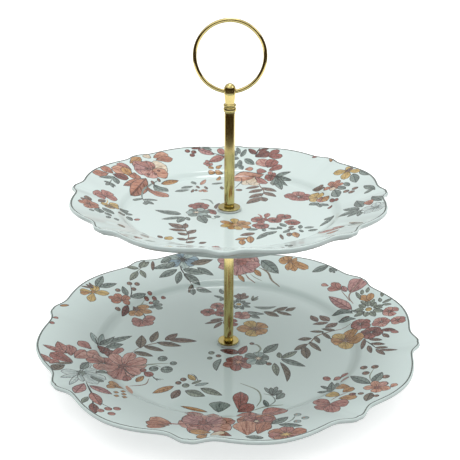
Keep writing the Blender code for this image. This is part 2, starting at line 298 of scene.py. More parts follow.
    def berry(self, ink, centre, radius):
        """A round berry with a small glint."""
        self.round(ink, centre, radius)
        glint = Vector(centre) + Vector((-0.3, 0.35)) * radius
        self.round("pale_slate" if ink in ("slate", "sage") else "peach", glint, radius * 0.28, line=None)


def smooth_line(points, steps):
    """Points on a Catmull-Rom curve through those given."""
    padded = [2 * points[0] - points[1]] + points + [2 * points[-1] - points[-2]]
    line = []
    for step in range(steps + 1):
        place = (len(points) - 1) * step / steps
        index = min(int(place), len(points) - 2)
        t = place - index
        a, b, c, d = padded[index : index + 4]
        line.append(
            0.5 * (2 * b + (c - a) * t + (2 * a - 5 * b + 4 * c - d) * t**2 + (3 * b - a - 3 * c + d) * t**3)
        )
    return line


# Placements of the print, clockwise from the left of each plate


def lower_print():
    """The lower plate's sprays, in painting order."""
    art = Print()
    # big spray on the left
    art.stroke("brown", [(-68, -13), (-62, -6), (-52, -1), (-40, 1)], 1.1)
    art.leaves("brown", (-63, -8, -64, 10, 8), (-56, 0, -53, 16, 6.5))
    art.leaves("umber", (-46, 3, -38, 13, 7), (-44, 4, -23, 2, 7))
    art.leaves("brown", (-52, 0, -34, -5, 6.5), (-61, -5, -46, -12, 5.5), (-67, -13, -53, -19, 5.5))
    art.leaves("slate", (-90, -2, -71, 9, 7), (-88, -7, -76, -3, 8))
    art.leaves("pale_slate", (-93, -10, -100, 3, 5), (-92, -9, -92, 7, 4))
    art.leaves("slate", (-92, -8, -84, 8, 5))
    art.stroke("outline", [(-96, -3), (-93, -10), (-90, -18)], 1.2)
    art.petals("dusty", (-96, -19, -106, -12, 8))
    art.petals("wine", (-89, -18, -88, -8, 9), (-84, -20, -85, -11, 8))
    art.petals("dusty", (-82, -18, -76, -8, 7), (-107, -34, -111, -20, 9), (-104, -36, -100, -22, 8))
    art.leaves("dusty", (-112, -31, -119, -19, 8), (-110, -32, -127, -28, 6))
    art.petals("rose", (-104, -36, -94, -25, 9))
    art.petals("red", (-104, -43, -120, -36, 12))
    art.petals("rose", (-88, -26, -98, -24, 11))
    art.flower("rose", (-85, -32), 12, 6, 0.4, 0.9, None)
    art.fan(
        "rose", (-72, -31),
        (-83, -16, 9), (-68, -14, 10), (-56, -31, 12), (-64, -46, 11), (-88, -40, 11),
    )
    art.petals("dusty", (-73, -33, -76, -50, 13))
    art.petals("rose", (-71, -31, -57, -23, 11), (-70, -33, -60, -42, 12))
    art.round("wine", (-73, -32), 2.6, 5, 0.3)
    art.stroke("outline", [(-72, -34), (-66, -42), (-60, -44)], 0.9)
    art.petals("red", (-69, -43, -67, -50, 6))
    art.stroke("sage", [(-62, -31), (-52, -29), (-41, -28)], 1.0)
    art.stroke("sage", [(-60, -32), (-52, -30), (-46, -33)], 0.8)
    art.berries("slate", (-46, -22, 3.2), (-38, -28, 2.2), (-51, -35, 3.0), (-42, -36, 3.9))
    art.petals("red", (-57, -39, -51, -44, 6))
    art.berries("red", (-58, -37, 2.0))
    for tip in ((-47, -50), (-45, -49), (-43, -48)):
        art.stroke("outline", [(-51, -44), (-49, -47), tip], 0.7)
    art.leaves("ochre", (-61, -51, -57, -44, 5))
    art.stroke("umber", [(-53, -47), (-55, -54), (-65, -56)], 1.0)
    art.leaves("dusty", (-117, -50, -126, -41, 7))
    art.petals("dusty", (-117, -52, -114, -44, 6))
    art.leaves("brown", (-113, -61, -108, -49, 8, 0.1), (-104, -44, -115, -50, 3))
    # pale flower with drawn petals
    art.fan(
        "white", (-96, -54),
        (-95, -38, 7), (-108, -60, 7), (-88, -47, 9), (-80, -57, 10), (-84, -66, 9),
    )
    art.leaves("white", (-97, -58, -107, -67, 4), (-97, -58, -100, -74, 4), (-97, -58, -93, -66, 4))
    art.leaves("slate", (-97, -50, -95, -38, 5.5))
    art.round("slate", (-96, -55), 3.0, 6, 0.4)
    art.petals("slate", (-90, -57, -81, -61, 4), (-88, -50, -81, -45, 4))
    art.fan("ochre", (-72, -66), (-76, -57, 6), (-69, -62, 6), (-78, -66, 6))
    art.stroke("peach", [(-67, -56), (-64, -62), (-62, -68)], 3.5)
    art.leaves("mauve", (-94, -86, -92, -68, 8.5), (-88, -70, -73, -77, 7.5))
    art.stroke("outline", [(-91, -66), (-87, -76), (-84, -84), (-79, -106)], 1.3)
    art.leaves("dusty", (-85, -80, -77, -95, 8))
    art.leaves("wine", (-82, -94, -78, -107, 6))
    art.leaves("sage", (-86, -87, -88, -97, 3.5))
    art.stroke("outline", [(-80, -90), (-76, -93), (-71, -96)], 0.6)
    art.berries("dusty", (-67, -96, 2.1), (-72, -98, 2.1), (-69, -104, 2.1), (-76, -102, 2.1))
    for spot in ((-71, -73), (-67, -70), (-66, -74), (-70, -78), (-65, -78)):
        art.round("ochre", spot, 1.4, 4, 0.3)
    # small sprig in front of the left spray
    art.leaves("mustard", (-22, -49, -27, -42, 4.5))
    art.stroke("outline", [(-20, -50), (-22, -44), (-25, -41)], 0.7)
    art.berries("umber", (-30, -48, 1.9), (-33, -52, 1.8))
    art.berries("sage", (-28, -55, 2.2))
    art.leaves("pale_slate", (-22, -55, -13, -52, 3))
    art.leaves("sage", (-24, -53, -18, -49, 2.5))
    art.leaves("ochre", (-36, -56, -49, -64, 6))
    art.leaves("umber", (-32, -60, -36, -70, 6.5))
    art.leaves("sage", (-28, -61, -15, -67, 7.5), (-18, -58, -4, -66, 6.5))
    # front spray
    art.leaves("ochre", (-13, -84, -30, -78, 3))
    art.petals("slate", (-6, -84, -5, -73, 13))
    art.petals("dusty", (-20, -98, -22, -84, 12))
    art.petals("rose", (-10, -98, -9, -86, 8))
    art.petals("red", (8, -84, 8, -62, 10), (6, -84, 16, -76, 9))
    art.petals("dusty", (12, -98, 14, -84, 16), (20, -98, 34, -80, 16))
    art.stroke("sage", [(18, -78), (21, -70), (19, -60), (8, -52)], 1.2)
    art.stroke("sage", [(16, -82), (24, -78), (35, -76)], 1.2)
    art.stroke("slate", [(25, -78), (30, -72), (28, -66), (23, -64)], 1.0)
    art.petals("slate", (31, -70, 36, -63, 5))
    art.leaves("slate", (25, -78, 23, -71, 3.5))
    art.fan("slate", (29, -66), (24, -57, 2.6), (28, -57, 2.6), (32, -56, 2.6), (35, -60, 2.6))
    art.rose("dusty", "red", (-15, -106), 17, 0.3)
    art.petals("mauve", (-14, -108, -26, -98, 14), (-12, -108, -4, -98, 14))
    art.round("red", (-15, -105), 3.0, 5, 0.4)
    art.rose("terracotta", "red", (17, -103), 13, 0.8)
    art.petals("peach", (11, -124, 11, -102, 16))
    art.petals("terracotta", (17, -122, 23, -104, 9))
    art.flower("terracotta", (33, -124), 12, 6, 0.3, 1.1, "mustard", 0.8)
    art.petals("peach", (-33, -112, -46, -103, 9))
    art.petals("terracotta", (-34, -114, -48, -110, 8), (-36, -116, -47, -117, 7))
    art.stroke("red", [(-38, -110), (-32, -111), (-26, -110)], 1.6)
    art.petals("ochre", (-10, -122, -22, -118, 8), (-12, -124, -17, -129, 6))
    art.petals("red", (2, -126, -8, -120, 7))
    art.petals("cream", (-10, -126, -2, -120, 5))
    art.leaves("slate", (26, -108, 36, -99, 7), (30, -109, 43, -114, 6), (20, -128, 10, -126, 6))
    art.stroke("slate", [(33, -108), (38, -104), (41, -97)], 1.0)
    art.berries("pale_slate", (42, -97, 2.0), (41, -107, 2.0), (46, -103, 2.0))
    # spray in the middle of the well, before and behind the stem
    art.leaves("wine", (8, -14, -6, -10, 8))
    art.leaves("red", (8, -16, 13, -4, 6.5))
    art.flower("red", (7, -26), 11, 6, 0.4, 0.9, "peach", 0.9)
    art.flower("slate", (21, -21), 9, 5, 0.2, 1.0, "cream", 1.0)
    art.leaves("slate", (25, -14, 36, -1, 8))
    art.stroke("sage", [(19, -15), (23, -9), (21, -3), (17, -2)], 1.6)
    art.berries("umber", (17, -1, 1.5))
    art.berries("sage", (-12, -14, 2.0), (-13, -21, 1.6))
    art.berries("umber", (-7, -18, 1.7))
    art.leaves("slate", (-5, -22, -8, -37, 5, -0.12))
    art.leaves("sage", (37, -21, 49, -11, 5.5), (36, -20, 36, -13, 4))
    art.leaves("slate", (37, -22, 53, -31, 6.5))
    art.leaves("sage", (32, -27, 33, -43, 5))
    art.leaves("brown", (36, -26, 39, -50, 4.5, 0.1))
    art.berries("umber", (28, -28, 1.8))
    art.flower("ochre", (20, 21), 12, 5, 0.6, 1.05, "umber", 1.0)
    art.flower("dusty", (11, 41), 7, 6, 0.2, 1.1, "red", 0.9)
    art.flower("red", (1, 30), 6, 5, 0.7, 1.1, None, 1.0)
    art.flower("red", (-6, 45), 6, 5, 0.3, 1.1, "outline", 1.0)
    art.flower("red", (-16, 47), 6, 5, 0.9, 1.1, "outline", 1.0)
    art.flower("dusty", (-9, 57), 6, 5, 0.1, 1.1, "outline", 1.0)
    art.star("slate", (8, 60), 11, 9, 0.2)
    art.fan("umber", (10, 68), (5, 76, 4), (8, 79, 4), (13, 80, 4), (16, 75, 4))
    art.leaves("slate", (-4, 70, -12, 75, 3.5), (-4, 70, -7, 66, 3.5), (-5, 78, -7, 87, 4))
    art.leaves("sage", (19, 66, 20, 75, 2), (19, 66, 24, 74, 2), (19, 66, 24, 70, 2))
    art.leaves("slate", (20, 56, 38, 57, 4.5, -0.15), (15, 48, 28, 44, 5, -0.1), (17, 42, 24, 37, 5))
    art.stroke("umber", [(26, 47), (36, 48), (48, 52)], 1.0)
    art.leaves(
        "brown",
        (28, 48, 39, 40, 7), (35, 48, 47, 56, 5), (38, 48, 49, 42, 5), (45, 49, 53, 55, 5),
    )
    art.leaves("umber", (-4, 34, -18, 28, 4), (-5, 36, -14, 33, 3), (-5, 31, -11, 21, 3.5))
    # branch and spray on the right
    art.stroke("umber", [(54, -6), (60, 2), (66, 11), (80, 19), (92, 22)], 1.1)
    art.leaves(
        "brown",
        (55, -5, 55, -21, 7.5), (57, -1, 47, -10, 5), (59, 2, 66, -11, 5), (61, 7, 51, 5, 5),
        (64, 10, 66, 0, 4), (70, 16, 75, 6, 4), (71, 17, 61, 17, 3.5), (80, 19, 70, 21, 4.5),
    )
    art.leaves(
        "umber",
        (68, 32, 64, 42, 6), (77, 33, 71, 42, 8), (76, 31, 64, 28, 4.5), (83, 30, 73, 23, 6),
        (84, 30, 92, 31, 4),
    )
    art.leaves("slate", (80, 40, 95, 34, 6, 0.16), (84, 31, 96, 26, 4.5), (94, 38, 103, 33, 3))
    art.star("sage", (107, 35), 13, 9, 0.1)
    art.petals("ochre", (108, 45, 104, 54, 6), (109, 45, 112, 54, 6))
    art.leaves(
        "sage",
        (103, 50, 101, 60, 2.8), (105, 55, 106, 61, 2.8), (109, 56, 111, 62, 2.8),
        (106, 42, 103, 47, 2.8), (110, 41, 113, 46, 2.8), (117, 41, 117, 46, 2.8),
        (118, 37, 124, 35, 2.8), (118, 39, 126, 42, 2.8), (112, 36, 117, 33, 2.8),
        (98, 34, 103, 32, 2.8), (119, 47, 121, 54, 2.8),
    )
    art.flower("red", (98, 18), 7.5, 5, 0.4, 1.15, None)
    art.flower("dusty", (113, 15), 6.5, 5, 0.8, 1.15, None)
    art.flower("dusty", (124, 12), 5.5, 5, 0.3, 1.15, None)
    art.flower("dusty", (121, 26), 6, 5, 0.1, 1.15, None)
    art.flower("wine", (104, 4), 8, 5, 0.6, 1.15, None)
    art.leaves("wine", (111, 4, 120, -1, 5))
    art.leaves("dusty", (117, -1, 121, -6, 4))
    art.leaves("umber", (111, -2, 114, -9, 3.5))
    art.flower("ochre", (85, 4), 12, 5, 1.0, 1.1, "umber", 1.0)
    art.stroke("outline", [(97, -3), (101, -12), (104, -20)], 0.9)
    art.leaves(
        "umber",
        (98, -3, 94, -16, 3.4), (99, -13, 99, -24, 3.4), (101, -5, 109, -10, 3.4),
        (101, -11, 110, -16, 3.4), (103, -18, 111, -21, 3.4), (103, -20, 107, -31, 3.4),
        (105, -22, 116, -28, 3.4),
    )
    art.petals("mauve", (97, 61, 108, 77, 17))
    art.leaves("mauve", (94, 64, 92, 72, 5))
    art.stroke("umber", [(109, 76), (100, 66), (95, 56), (97, 46)], 1.2)
    art.leaves("mauve", (95, 39, 80, 62, 10))
    art.petals("dusty", (90, 68, 80, 72, 6), (90, 69, 84, 78, 5), (90, 68, 88, 77, 4))
    art.petals("rose", (81, 75, 76, 79, 3.5))
    art.stroke("umber", [(90, 68), (93, 58), (95, 50)], 0.8)
    # front right cluster
    art.berries("dusty", (66, -46, 2.4))
    art.petals("dusty", (70.5, -48, 75.5, -44, 3.6), (75.5, -45, 80.5, -41, 3.6))
    art.petals("dusty", (74.5, -53, 79.5, -49, 3.6))
    art.berries("umber", (91, -42, 2.2), (98, -44, 2.2), (91, -50, 2.2), (102, -60, 2.2))
    art.stroke("sage", [(97, -46), (93, -54), (92, -62)], 0.9)
    art.leaves(
        "slate",
        (91, -66, 81, -50, 8), (93, -65, 101, -53, 7), (67, -62, 58, -62, 3), (66, -58, 61, -55, 3),
        (66, -68, 69, -50, 6),
    )
    art.leaves("sage", (71, -60, 72, -52, 3))
    art.petals("ochre", (78, -66, 70, -61, 8))
    art.petals("mustard", (70, -76, 63, -70, 9))
    art.petals("ochre", (73, -72, 80, -67, 7), (69, -80, 80, -82, 8))
    art.berries("wine", (78, -77, 2.0))
    art.berries("umber", (83, -78, 1.6), (91, -85, 1.7))
    art.stroke("umber", [(64, -81), (70, -76), (76, -73)], 0.9)
    art.fan("dusty", (63, -86), (54, -78, 10), (54, -92, 10), (63, -99, 11), (74, -88, 11))
    art.fan("peach", (94, -73), (94, -63, 6), (101, -67, 7), (101, -78, 7), (92, -80, 7), (86, -70, 6))
    art.petals("rose", (95, -72, 101, -68, 5))
    art.petals("peach", (102, -76, 106, -72, 4))
    art.round("red", (94, -73), 1.8, 5, 0.4)
    art.leaves("brown", (89, -79, 84, -91, 6.5))
    # cluster behind the left spray
    art.fan("dusty", (-66, 33), (-74, 31, 11), (-68, 23, 11), (-58, 26, 9), (-57, 38, 10))
    art.stroke("outline", [(-64, 35), (-66, 42), (-72, 48)], 1.0)
    art.petals(
        "ochre",
        (-72, 49, -76, 40, 7), (-71, 49, -69, 39, 7), (-71, 50, -60, 45, 7), (-73, 51, -63, 56, 7),
    )
    art.round("umber", (-73, 50), 2.5, 5, 0.4)
    art.berries("red", (-66, 64, 1.7), (-60, 67, 1.7), (-62, 61, 1.7), (-53, 70, 1.7), (-64, 70, 1.7))
    for tip in ((-64, 60), (-68, 59), (-67, 63)):
        art.stroke("sage", [(-73, 53), (-70, 56), tip], 0.6)
    art.fan("slate", (-59, 57), (-58, 66, 5), (-53, 59, 5), (-53, 51, 5), (-62, 53, 5))
    art.leaves("slate", (-78, 60, -67, 68, 6.5), (-81, 61, -86, 72, 5))
    art.stroke("outline", [(-79, 58), (-78, 66), (-80, 76)], 0.9)
    art.berries("umber", (-81, 77, 1.9), (-75, 78, 1.9), (-77, 71, 1.9), (-89, 66, 1.9), (-86, 42, 1.9))
    art.fan(
        "terracotta", (-84, 54),
        (-92, 50, 7), (-90, 61, 7), (-80, 61, 7), (-78, 52, 6), (-95, 55, 5),
    )
    art.leaves("wine", (-79, 50, -82, 37, 5))
    # left and back of the rim
    art.fan(
        "mustard", (-107, 56),
        (-105, 66, 5), (-95, 60, 6.5), (-107, 43, 6.5), (-117, 55, 6), (-109, 66, 5),
    )
    art.petals("ochre", (-109, 55, -116, 51, 5))
    art.berries("ochre", (-107, 57, 1.4))
    art.leaves("slate", (-106, 65, -103, 80, 6.5), (-104, 65, -91, 74, 6))
    art.leaves("umber", (-108, 62, -114, 65, 2), (-108, 62, -112, 68, 2), (-108, 62, -117, 61, 2))
    art.leaves("ochre", (-127, 28, -121, 31, 2.4))
    art.petals("dusty", (-128, 9, -125, 11, 3), (-129, 1, -126, 3, 3))
    art.stroke("sage", [(-72, 107), (-75, 98), (-80, 88)], 0.9)
    art.leaves(
        "sage",
        (-76, 99, -85, 96, 4.5), (-76, 94, -81, 81, 5.5), (-74, 97, -69, 88, 5),
        (-76, 101, -68, 109, 6), (-75, 100, -72, 110, 5),
    )
    art.flower("blue", (-40, 118), 15, 7, 0.3, 1.0, "outline", 0.9)
    art.leaves(
        "slate",
        (-44, 104, -58, 91, 7), (-41, 102, -43, 86, 6), (-38, 100, -24, 89, 8.5),
        (-39, 105, -20, 102, 8.5), (-27, 109, -13, 100, 6.5), (-45, 110, -64, 101, 6.5),
        (-47, 113, -53, 104, 6), (-50, 118, -58, 109, 6),
    )
    art.leaves("brown", (-33, 113, -14, 120, 7.5))
    art.stroke("outline", [(-41, 110), (-40, 104), (-31, 88)], 1.2)
    art.leaves("brown", (-30, 88, -33, 80, 4))
    art.leaves("slate", (-30, 86, -29, 76, 5), (-27, 86, -14, 81, 7))
    art.leaves("umber", (-65, 110, -64, 99, 3))
    art.rose("mauve", "dusty", (11, 117), 18, 0.2)
    art.fan("mauve", (10, 116), (-9, 110, 9), (6, 100, 13), (21, 104, 10), (27, 112, 9), (-10, 120, 9))
    art.round("red", (11, 117), 5, 8, 0.3)
    art.leaves("slate", (28, 118, 42, 100, 12))
    art.stroke("brown", [(26, 109), (33, 102), (36, 92), (42, 84)], 1.8)
    art.stroke("umber", [(14, 102), (17, 96), (22, 91)], 1.2)
    art.stroke("sage", [(18, 102), (22, 97), (28, 92)], 0.8)
    art.leaves("ochre", (8, 101, 13, 93, 4), (22, 107, 27, 98, 5))
    art.fan(
        "ochre", (53, 115),
        (43, 116, 9), (58, 113, 9), (56, 101, 7), (50, 103, 6), (67, 102, 8), (50, 122, 9),
    )
    art.leaves(
        "slate",
        (84, 102, 70, 97, 7.5), (85, 98, 85, 92, 2.5), (85, 98, 88, 90, 2.5), (85, 98, 90, 92, 2.5),
    )
    return art.shapes


def upper_print():
    """The upper plate's sprays, in painting order."""
    art = Print()
    # back left spray
    art.petals("peach", (-58, 77, -48, 86, 9))
    art.petals("terracotta", (-56, 75, -44, 82, 7))
    art.petals("cream", (-60, 76, -66, 79, 5))
    art.petals("ochre", (-74, 62, -68, 75, 7))
    art.petals("cream", (-62, 60, -48, 71, 15))
    art.petals("peach", (-60, 58, -46, 62, 13))
    art.petals("dusty", (-60, 60, -63, 72, 12), (-58, 60, -72, 66, 14))
    art.petals("mauve", (-58, 62, -70, 56, 14))
    art.petals("rose", (-58, 62, -60, 51, 13))
    art.berries("wine", (-62, 62, 1.0), (-57, 66, 1.0), (-53, 63, 1.0), (-55, 58, 1.0), (-60, 55, 1.0))
    art.petals("dusty", (-72, 54, -83, 57, 8))
    art.petals("peach", (-72, 50, -86, 50, 11))
    art.petals("ochre", (-72, 46, -78, 55, 8))
    art.petals("terracotta", (-70, 52, -68, 44, 8))
    art.petals("wine", (-84, 42, -73, 42, 9))
    art.petals("terracotta", (-84, 43, -93, 48, 8), (-87, 41, -97, 34, 9))
    art.leaves("slate", (-82, 39, -92, 31, 4), (-82, 38, -79, 30, 5))
    art.stroke("slate", [(-83, 38), (-84, 30), (-84, 24)], 0.9)
    art.leaves(
        "slate",
        (-84, 28, -88, 27, 2.6), (-84, 28, -86, 22, 2.6), (-84, 28, -80, 25, 2.6),
        (-84, 28, -81, 22, 2.6),
    )
    art.leaves("terracotta", (-61, 48, -75, 30, 9), (-61, 49, -69, 21, 12))
    art.stroke("slate", [(-52, 52), (-58, 43), (-62, 34), (-61, 22), (-57, 12)], 1.2)
    art.leaves(
        "slate",
        (-61, 22, -67, 17, 4), (-60, 20, -50, 18, 4), (-58, 15, -57, 9, 4), (-59, 17, -52, 10, 4),
    )
    art.berries("umber", (-52, 52, 1.1), (-56, 47, 1.1))
    art.leaves("slate", (-55, 46, -44, 37, 10))
    art.leaves("ochre", (-50, 50, -38, 59, 4))
    art.petals("terracotta", (-60, 41, -43, 25, 8))
    # left edge
    art.fan("dusty", (-84, 4), (-92, 5, 9), (-83, 13, 9), (-76, 5, 8), (-88, -1, 8))
    art.stroke("mustard", [(-82, 0), (-81, -6), (-83, -12)], 0.8)
    art.fan("mustard", (-79, -9), (-75, -3, 6), (-73, -9, 6), (-78, -15, 6), (-84, -12, 5))
    art.leaves("umber", (-83, -3, -86, -10, 4), (-82, -13, -74, -11, 3), (-94, -8, -91, -15, 5))
    art.berries("umber", (-95, -15, 1.4))
    art.fan(
        "terracotta", (-90, -20),
        (-97, -21, 6), (-93, -14, 6), (-86, -15, 6), (-90, -28, 6), (-84, -22, 6),
    )
    art.leaves(
        "slate",
        (-72, -10, -68, -3, 4.5), (-70, -8, -64, -11, 3.5), (-69, -12, -72, -18, 3),
        (-67, -14, -63, -21, 3.5), (-82, -18, -74, -24, 6), (-84, -22, -82, -30, 6.5),
        (-79, -26, -75, -30, 4), (-76, -32, -76, -37, 3), (-72, -32, -70, -36, 3),
    )
    art.berries("slate", (-87, -30, 1.4))
    art.berries("dusty", (-60, -19, 1.7))
    # back
    art.berries("wine", (-33, 94.5, 1.8), (-28, 94, 1.8), (-29, 90, 1.8))
    art.leaves("wine", (-30, 98, -23, 100, 3))
    art.leaves("mauve", (-25, 98, -12, 92, 7))
    art.leaves("slate", (-22, 101, -14, 97, 3.5))
    art.leaves("dusty", (-4, 91, -16, 83, 7.5))
    art.petals("dusty", (-5, 92, -8, 99, 6))
    art.stroke("outline", [(-14, 94), (-6, 91), (0, 90)], 1.0)
    art.fan("dusty", (-16, 81), (-20, 81, 3), (-18, 85, 3), (-13, 80, 3), (-17, 78, 3))
    art.petals(
        "ochre",
        (-12, 76, -16, 77, 3), (-11, 72, -16, 72, 3), (-5, 72, -11, 73, 3), (-6, 80, -10, 76, 3),
        (-7, 70, -9, 63, 3),
    )
    art.leaves(
        "slate",
        (5, 92, 4, 98, 4), (8, 94, 6, 102, 3), (9, 90, 13, 98, 4), (7, 88, 2, 90, 4),
        (8, 86, 8, 78, 4), (12, 87, 19, 80, 6), (6, 82, 3, 76, 4), (8, 80, 10, 75, 4),
    )
    art.petals("peach", (12, 75, 18, 75, 4))
    art.leaves("wine", (21, 92, 15, 98, 5), (22, 96, 31, 98, 2.6))
    art.stroke("outline", [(20, 90), (22, 95), (24, 99)], 1.0)
    art.petals("wine", (20, 89, 31, 94, 9))
    art.petals("red", (30, 90, 39, 95, 6), (30, 89, 41, 87, 7))
    art.petals("rose", (28, 76, 23, 86, 9))
    art.petals("red", (29, 75, 35, 84, 11), (30, 71, 40, 75, 7))
    art.petals("dusty", (28, 70, 21, 73, 5))
    art.petals("peach", (26, 68, 3, 69, 8), (20, 68, 3, 63, 9))
    art.petals("cream", (20, 68, 10, 53, 9), (20, 68, 18, 51, 10))
    art.petals("dusty", (20, 68, 27, 55, 8))
    art.petals("cream", (19, 68, 15, 56, 8))
    art.stroke("outline", [(9, 68), (9, 60), (4, 45)], 0.8)
    art.flower("red", (31, 65), 4, 5, 0.3, 1.0, "wine")
    art.leaves(
        "slate",
        (35, 64, 46, 65, 4), (35, 64, 46, 56, 2), (35, 64, 43, 51, 3), (35, 64, 38, 42, 6),
        (35, 64, 32, 52, 6),
    )
    # brown branch on the right of the stem
    art.stroke("umber", [(22, 56), (23, 48), (25, 38), (22, 24)], 1.0)
    art.leaves(
        "umber",
        (22, 50, 12, 44, 5), (24, 47, 34, 38, 7), (24, 43, 14, 35, 6.5), (25, 37, 33, 27, 6.5),
        (24, 34, 14, 24, 6.5), (23, 26, 12, 12, 7.5), (23, 26, 25, 17, 7),
    )
    art.berries("umber", (7, 41, 2.2))
    art.leaves("brown", (-5, 42, -6, 49, 2.5))
    # small pieces left of the stem
    art.leaves("slate", (-28, 60, -25, 53, 3.6))
    art.leaves("peach", (-21, 52, -18, 65, 3.6))
    art.leaves("slate", (-35, 44, -27, 49, 5.5), (-39, 37, -29, 41, 5.5), (-13, 54, -5, 57, 4))
    art.leaves(
        "umber",
        (-27, 35, -26, 42, 2), (-24, 38, -24, 42, 2), (-24, 50, -22, 44, 2), (-18, 49, -16, 42, 2),
    )
    art.fan("peach", (-19, 39), (-22, 38, 3.5), (-16, 37, 3.5), (-18, 42, 3.5))
    # middle of the well
    art.fan("red", (-20, 7), (-28, 8, 7), (-21, 14, 7), (-14, 9, 7), (-16, 1, 7), (-24, 2, 7))
    art.stroke("slate", [(-20, 20), (-14, 19), (-11, 11)], 1.8)
    art.leaves("umber", (-9, 2, -7, 13, 4))
    art.leaves("red", (-14, 1, -9, -9, 6))
    art.flower("slate", (-22, -5), 8, 6, 0.2, 1.05, "cream")
    art.leaves(
        "slate",
        (-33, -10, -50, -1, 6), (-32, -9, -43, -2, 5), (-30, -14, -44, -18, 5),
        (-30, -14, -33, -24, 5.5), (-28, -14, -26, -20, 3), (-20, -11, -15, -25, 7),
        (-17, -10, -12, -15, 4.5),
    )
    art.berries("slate", (-8, -13, 1.8))
    art.stroke("slate", [(-12, -15), (-10, -17), (-8, -14)], 0.8)
    art.stroke("umber", [(-28, -24), (-28, -34), (-25, -45), (-26, -57)], 0.9)
    art.leaves(
        "umber",
        (-28, -34, -39, -25, 6.5), (-28, -34, -28, -25, 4), (-27, -38, -38, -35, 4.5),
        (-26, -43, -21, -36, 5), (-26, -45, -32, -41, 4), (-26, -53, -32, -50, 3.4),
        (-26, -52, -20, -48, 3.4), (-26, -57, -21, -55, 3), (-18, -58, -14, -56, 3),
    )
    art.round("mustard", (-37, -50), 2.8, 5, 0.2)
    art.leaves("umber", (-41, -50, -44, -46, 2.5), (-48, -56, -54, -42, 5))
    # front
    art.flower("mustard", (4, -27), 10, 8, 0.2, 0.95, "ochre")
    art.petals("ochre", (8, -25, 14, -24, 5))
    for x, y, size, turn in (
        (19, -18, 5.5, 0.1),
        (29, -19, 5, 0.6),
        (36, -13, 5, 0.9),
        (41, -23, 5, 0.3),
        (21, -29, 5.5, 0.5),
    ):
        art.flower("red", (x, y), size, 5, turn, 1.15, None)
    art.stroke("red", [(19, -8), (21, -11), (21, -15)], 1.6)
    art.petals("dusty", (24, -15, 26, -6, 3.5))
    art.leaves(
        "slate",
        (36, -30, 33, -24, 4), (33, -34, 31, -30, 3), (25, -33, 31, -34, 3), (11, -35, 18, -35, 4),
        (45, -33, 46, -27, 2.6), (46, -39, 45, -35, 2.4), (48, -32, 54, -30, 3), (50, -37, 56, -34, 3),
        (22, -38, 22, -33, 2.5), (38, -36, 34, -40, 3), (25, -39, 17, -51, 4), (30, -38, 20, -45, 4),
    )
    art.leaves(
        "umber",
        (42, -33, 37, -35, 3), (38, -40, 37, -46, 3.5), (32, -43, 33, -51, 1.8), (16, -41, 7, -45, 5),
        (41, -29, 38, -32, 2.5),
    )
    art.leaves(
        "ochre",
        (41, -39, 42, -48, 5), (13, -46, 13, -57, 5), (11, -49, 4, -52, 4), (8, -52, 8, -60, 4.4),
    )
    # right
    art.flower("red", (49, 27), 10, 5, 0.3, 1.15, None)
    art.fan("mustard", (62, 25), (56, 26, 6), (60, 33, 6), (57, 17, 6), (66, 29, 5))
    art.petals("terracotta", (65, 25, 63, 16, 6))
    art.petals("ochre", (66, 24, 68, 17, 5))
    art.leaves("umber", (68, 33, 60, 38, 4))
    art.berries("umber", (66, 37, 1.3))
    art.fan("terracotta", (73, 31), (73, 39, 4.5), (79, 38, 4.5), (81, 32, 4), (67, 31, 4), (77, 27, 4))
    art.round("cream", (73, 28), 2.2, 5, 0.2)
    art.leaves(
        "slate",
        (77, 29, 81, 22, 5), (82, 32, 84, 25, 4), (74, 26, 75, 13, 7), (62, 15, 55, 10, 6),
        (62, 13, 62, 6, 4), (63, 13, 68, 9, 5), (93, 17, 98, 4, 5), (97, 6, 91, 4, 3),
        (89, 41, 89, 27, 7), (94, 43, 99, 32, 6),
    )
    art.leaves("red", (70, 16, 72, 10, 2.2), (73, 12, 74, 8, 2.2), (70, 7, 67, 3, 2.2))
    art.berries("umber", (81, 18, 1.9), (87, 18, 1.9), (84, 14, 1.9))
    art.fan("mustard", (86, 47), (76, 49, 6), (82, 37, 7), (94, 42, 5), (87, 52, 4))
    art.leaves("umber", (84, 46, 91, 50, 3))
    art.petals("dusty", (63, 76, 67, 77, 3))
    art.petals("ochre", (76, 66, 77, 71, 3))
    # front right of the rim
    art.leaves(
        "slate",
        (84, -20, 75, -12, 5.5), (84, -21, 70, -23, 7), (85, -24, 75, -29, 5), (86, -19, 85, -3, 7),
        (84, -27, 81, -34, 3.4), (98, -20, 95, -4, 7), (69, -13, 58, -29, 2.4), (69, -12, 62, -18, 3),
        (37, -57, 33, -64, 4),
    )
    art.petals("terracotta", (91, -20, 91, -11, 6.5))
    art.flower("white", (93, -28), 8, 6, 0.4, 1.0, "slate")
    art.petals("dusty", (70, -52, 54, -53, 7), (70, -52, 64, -47, 5))
    art.petals("terracotta", (66, -58, 58, -61, 4))
    art.leaves("brown", (80, -57, 74, -44, 3.5))
    art.leaves("dusty", (54, -52, 57, -38, 3))
    art.leaves("slate", (72, -52, 78, -55, 4))
    art.fan("dusty", (-8, -65), (-8, -62, 4), (-5, -66, 4), (-11, -66, 4))
    art.petals("dusty", (-53, -80, -52, -73, 5), (-8, -96, -6, -80, 6))
    art.leaves("sage", (-48, -80, -42, -78, 5))
    art.leaves("umber", (-52, -58, -48, -68, 5))
    art.leaves("sage", (-68, -45, -64, -51, 4))
    art.leaves("ochre", (-38, -63, -33, -67, 3))
    # painted shade and reflection: these two thin sage leaves along the foot of the front cove stand in for
    # the dark line where the well turns up into the cove
    art.leaves("sage", (-20, -66, -12, -67, 3.5), (12, -67, 23, -64, 3.5))
    art.leaves("slate", (20, -95, 24, -84, 6), (33, -78, 35, -90, 4))
    return art.shapes


# The plates


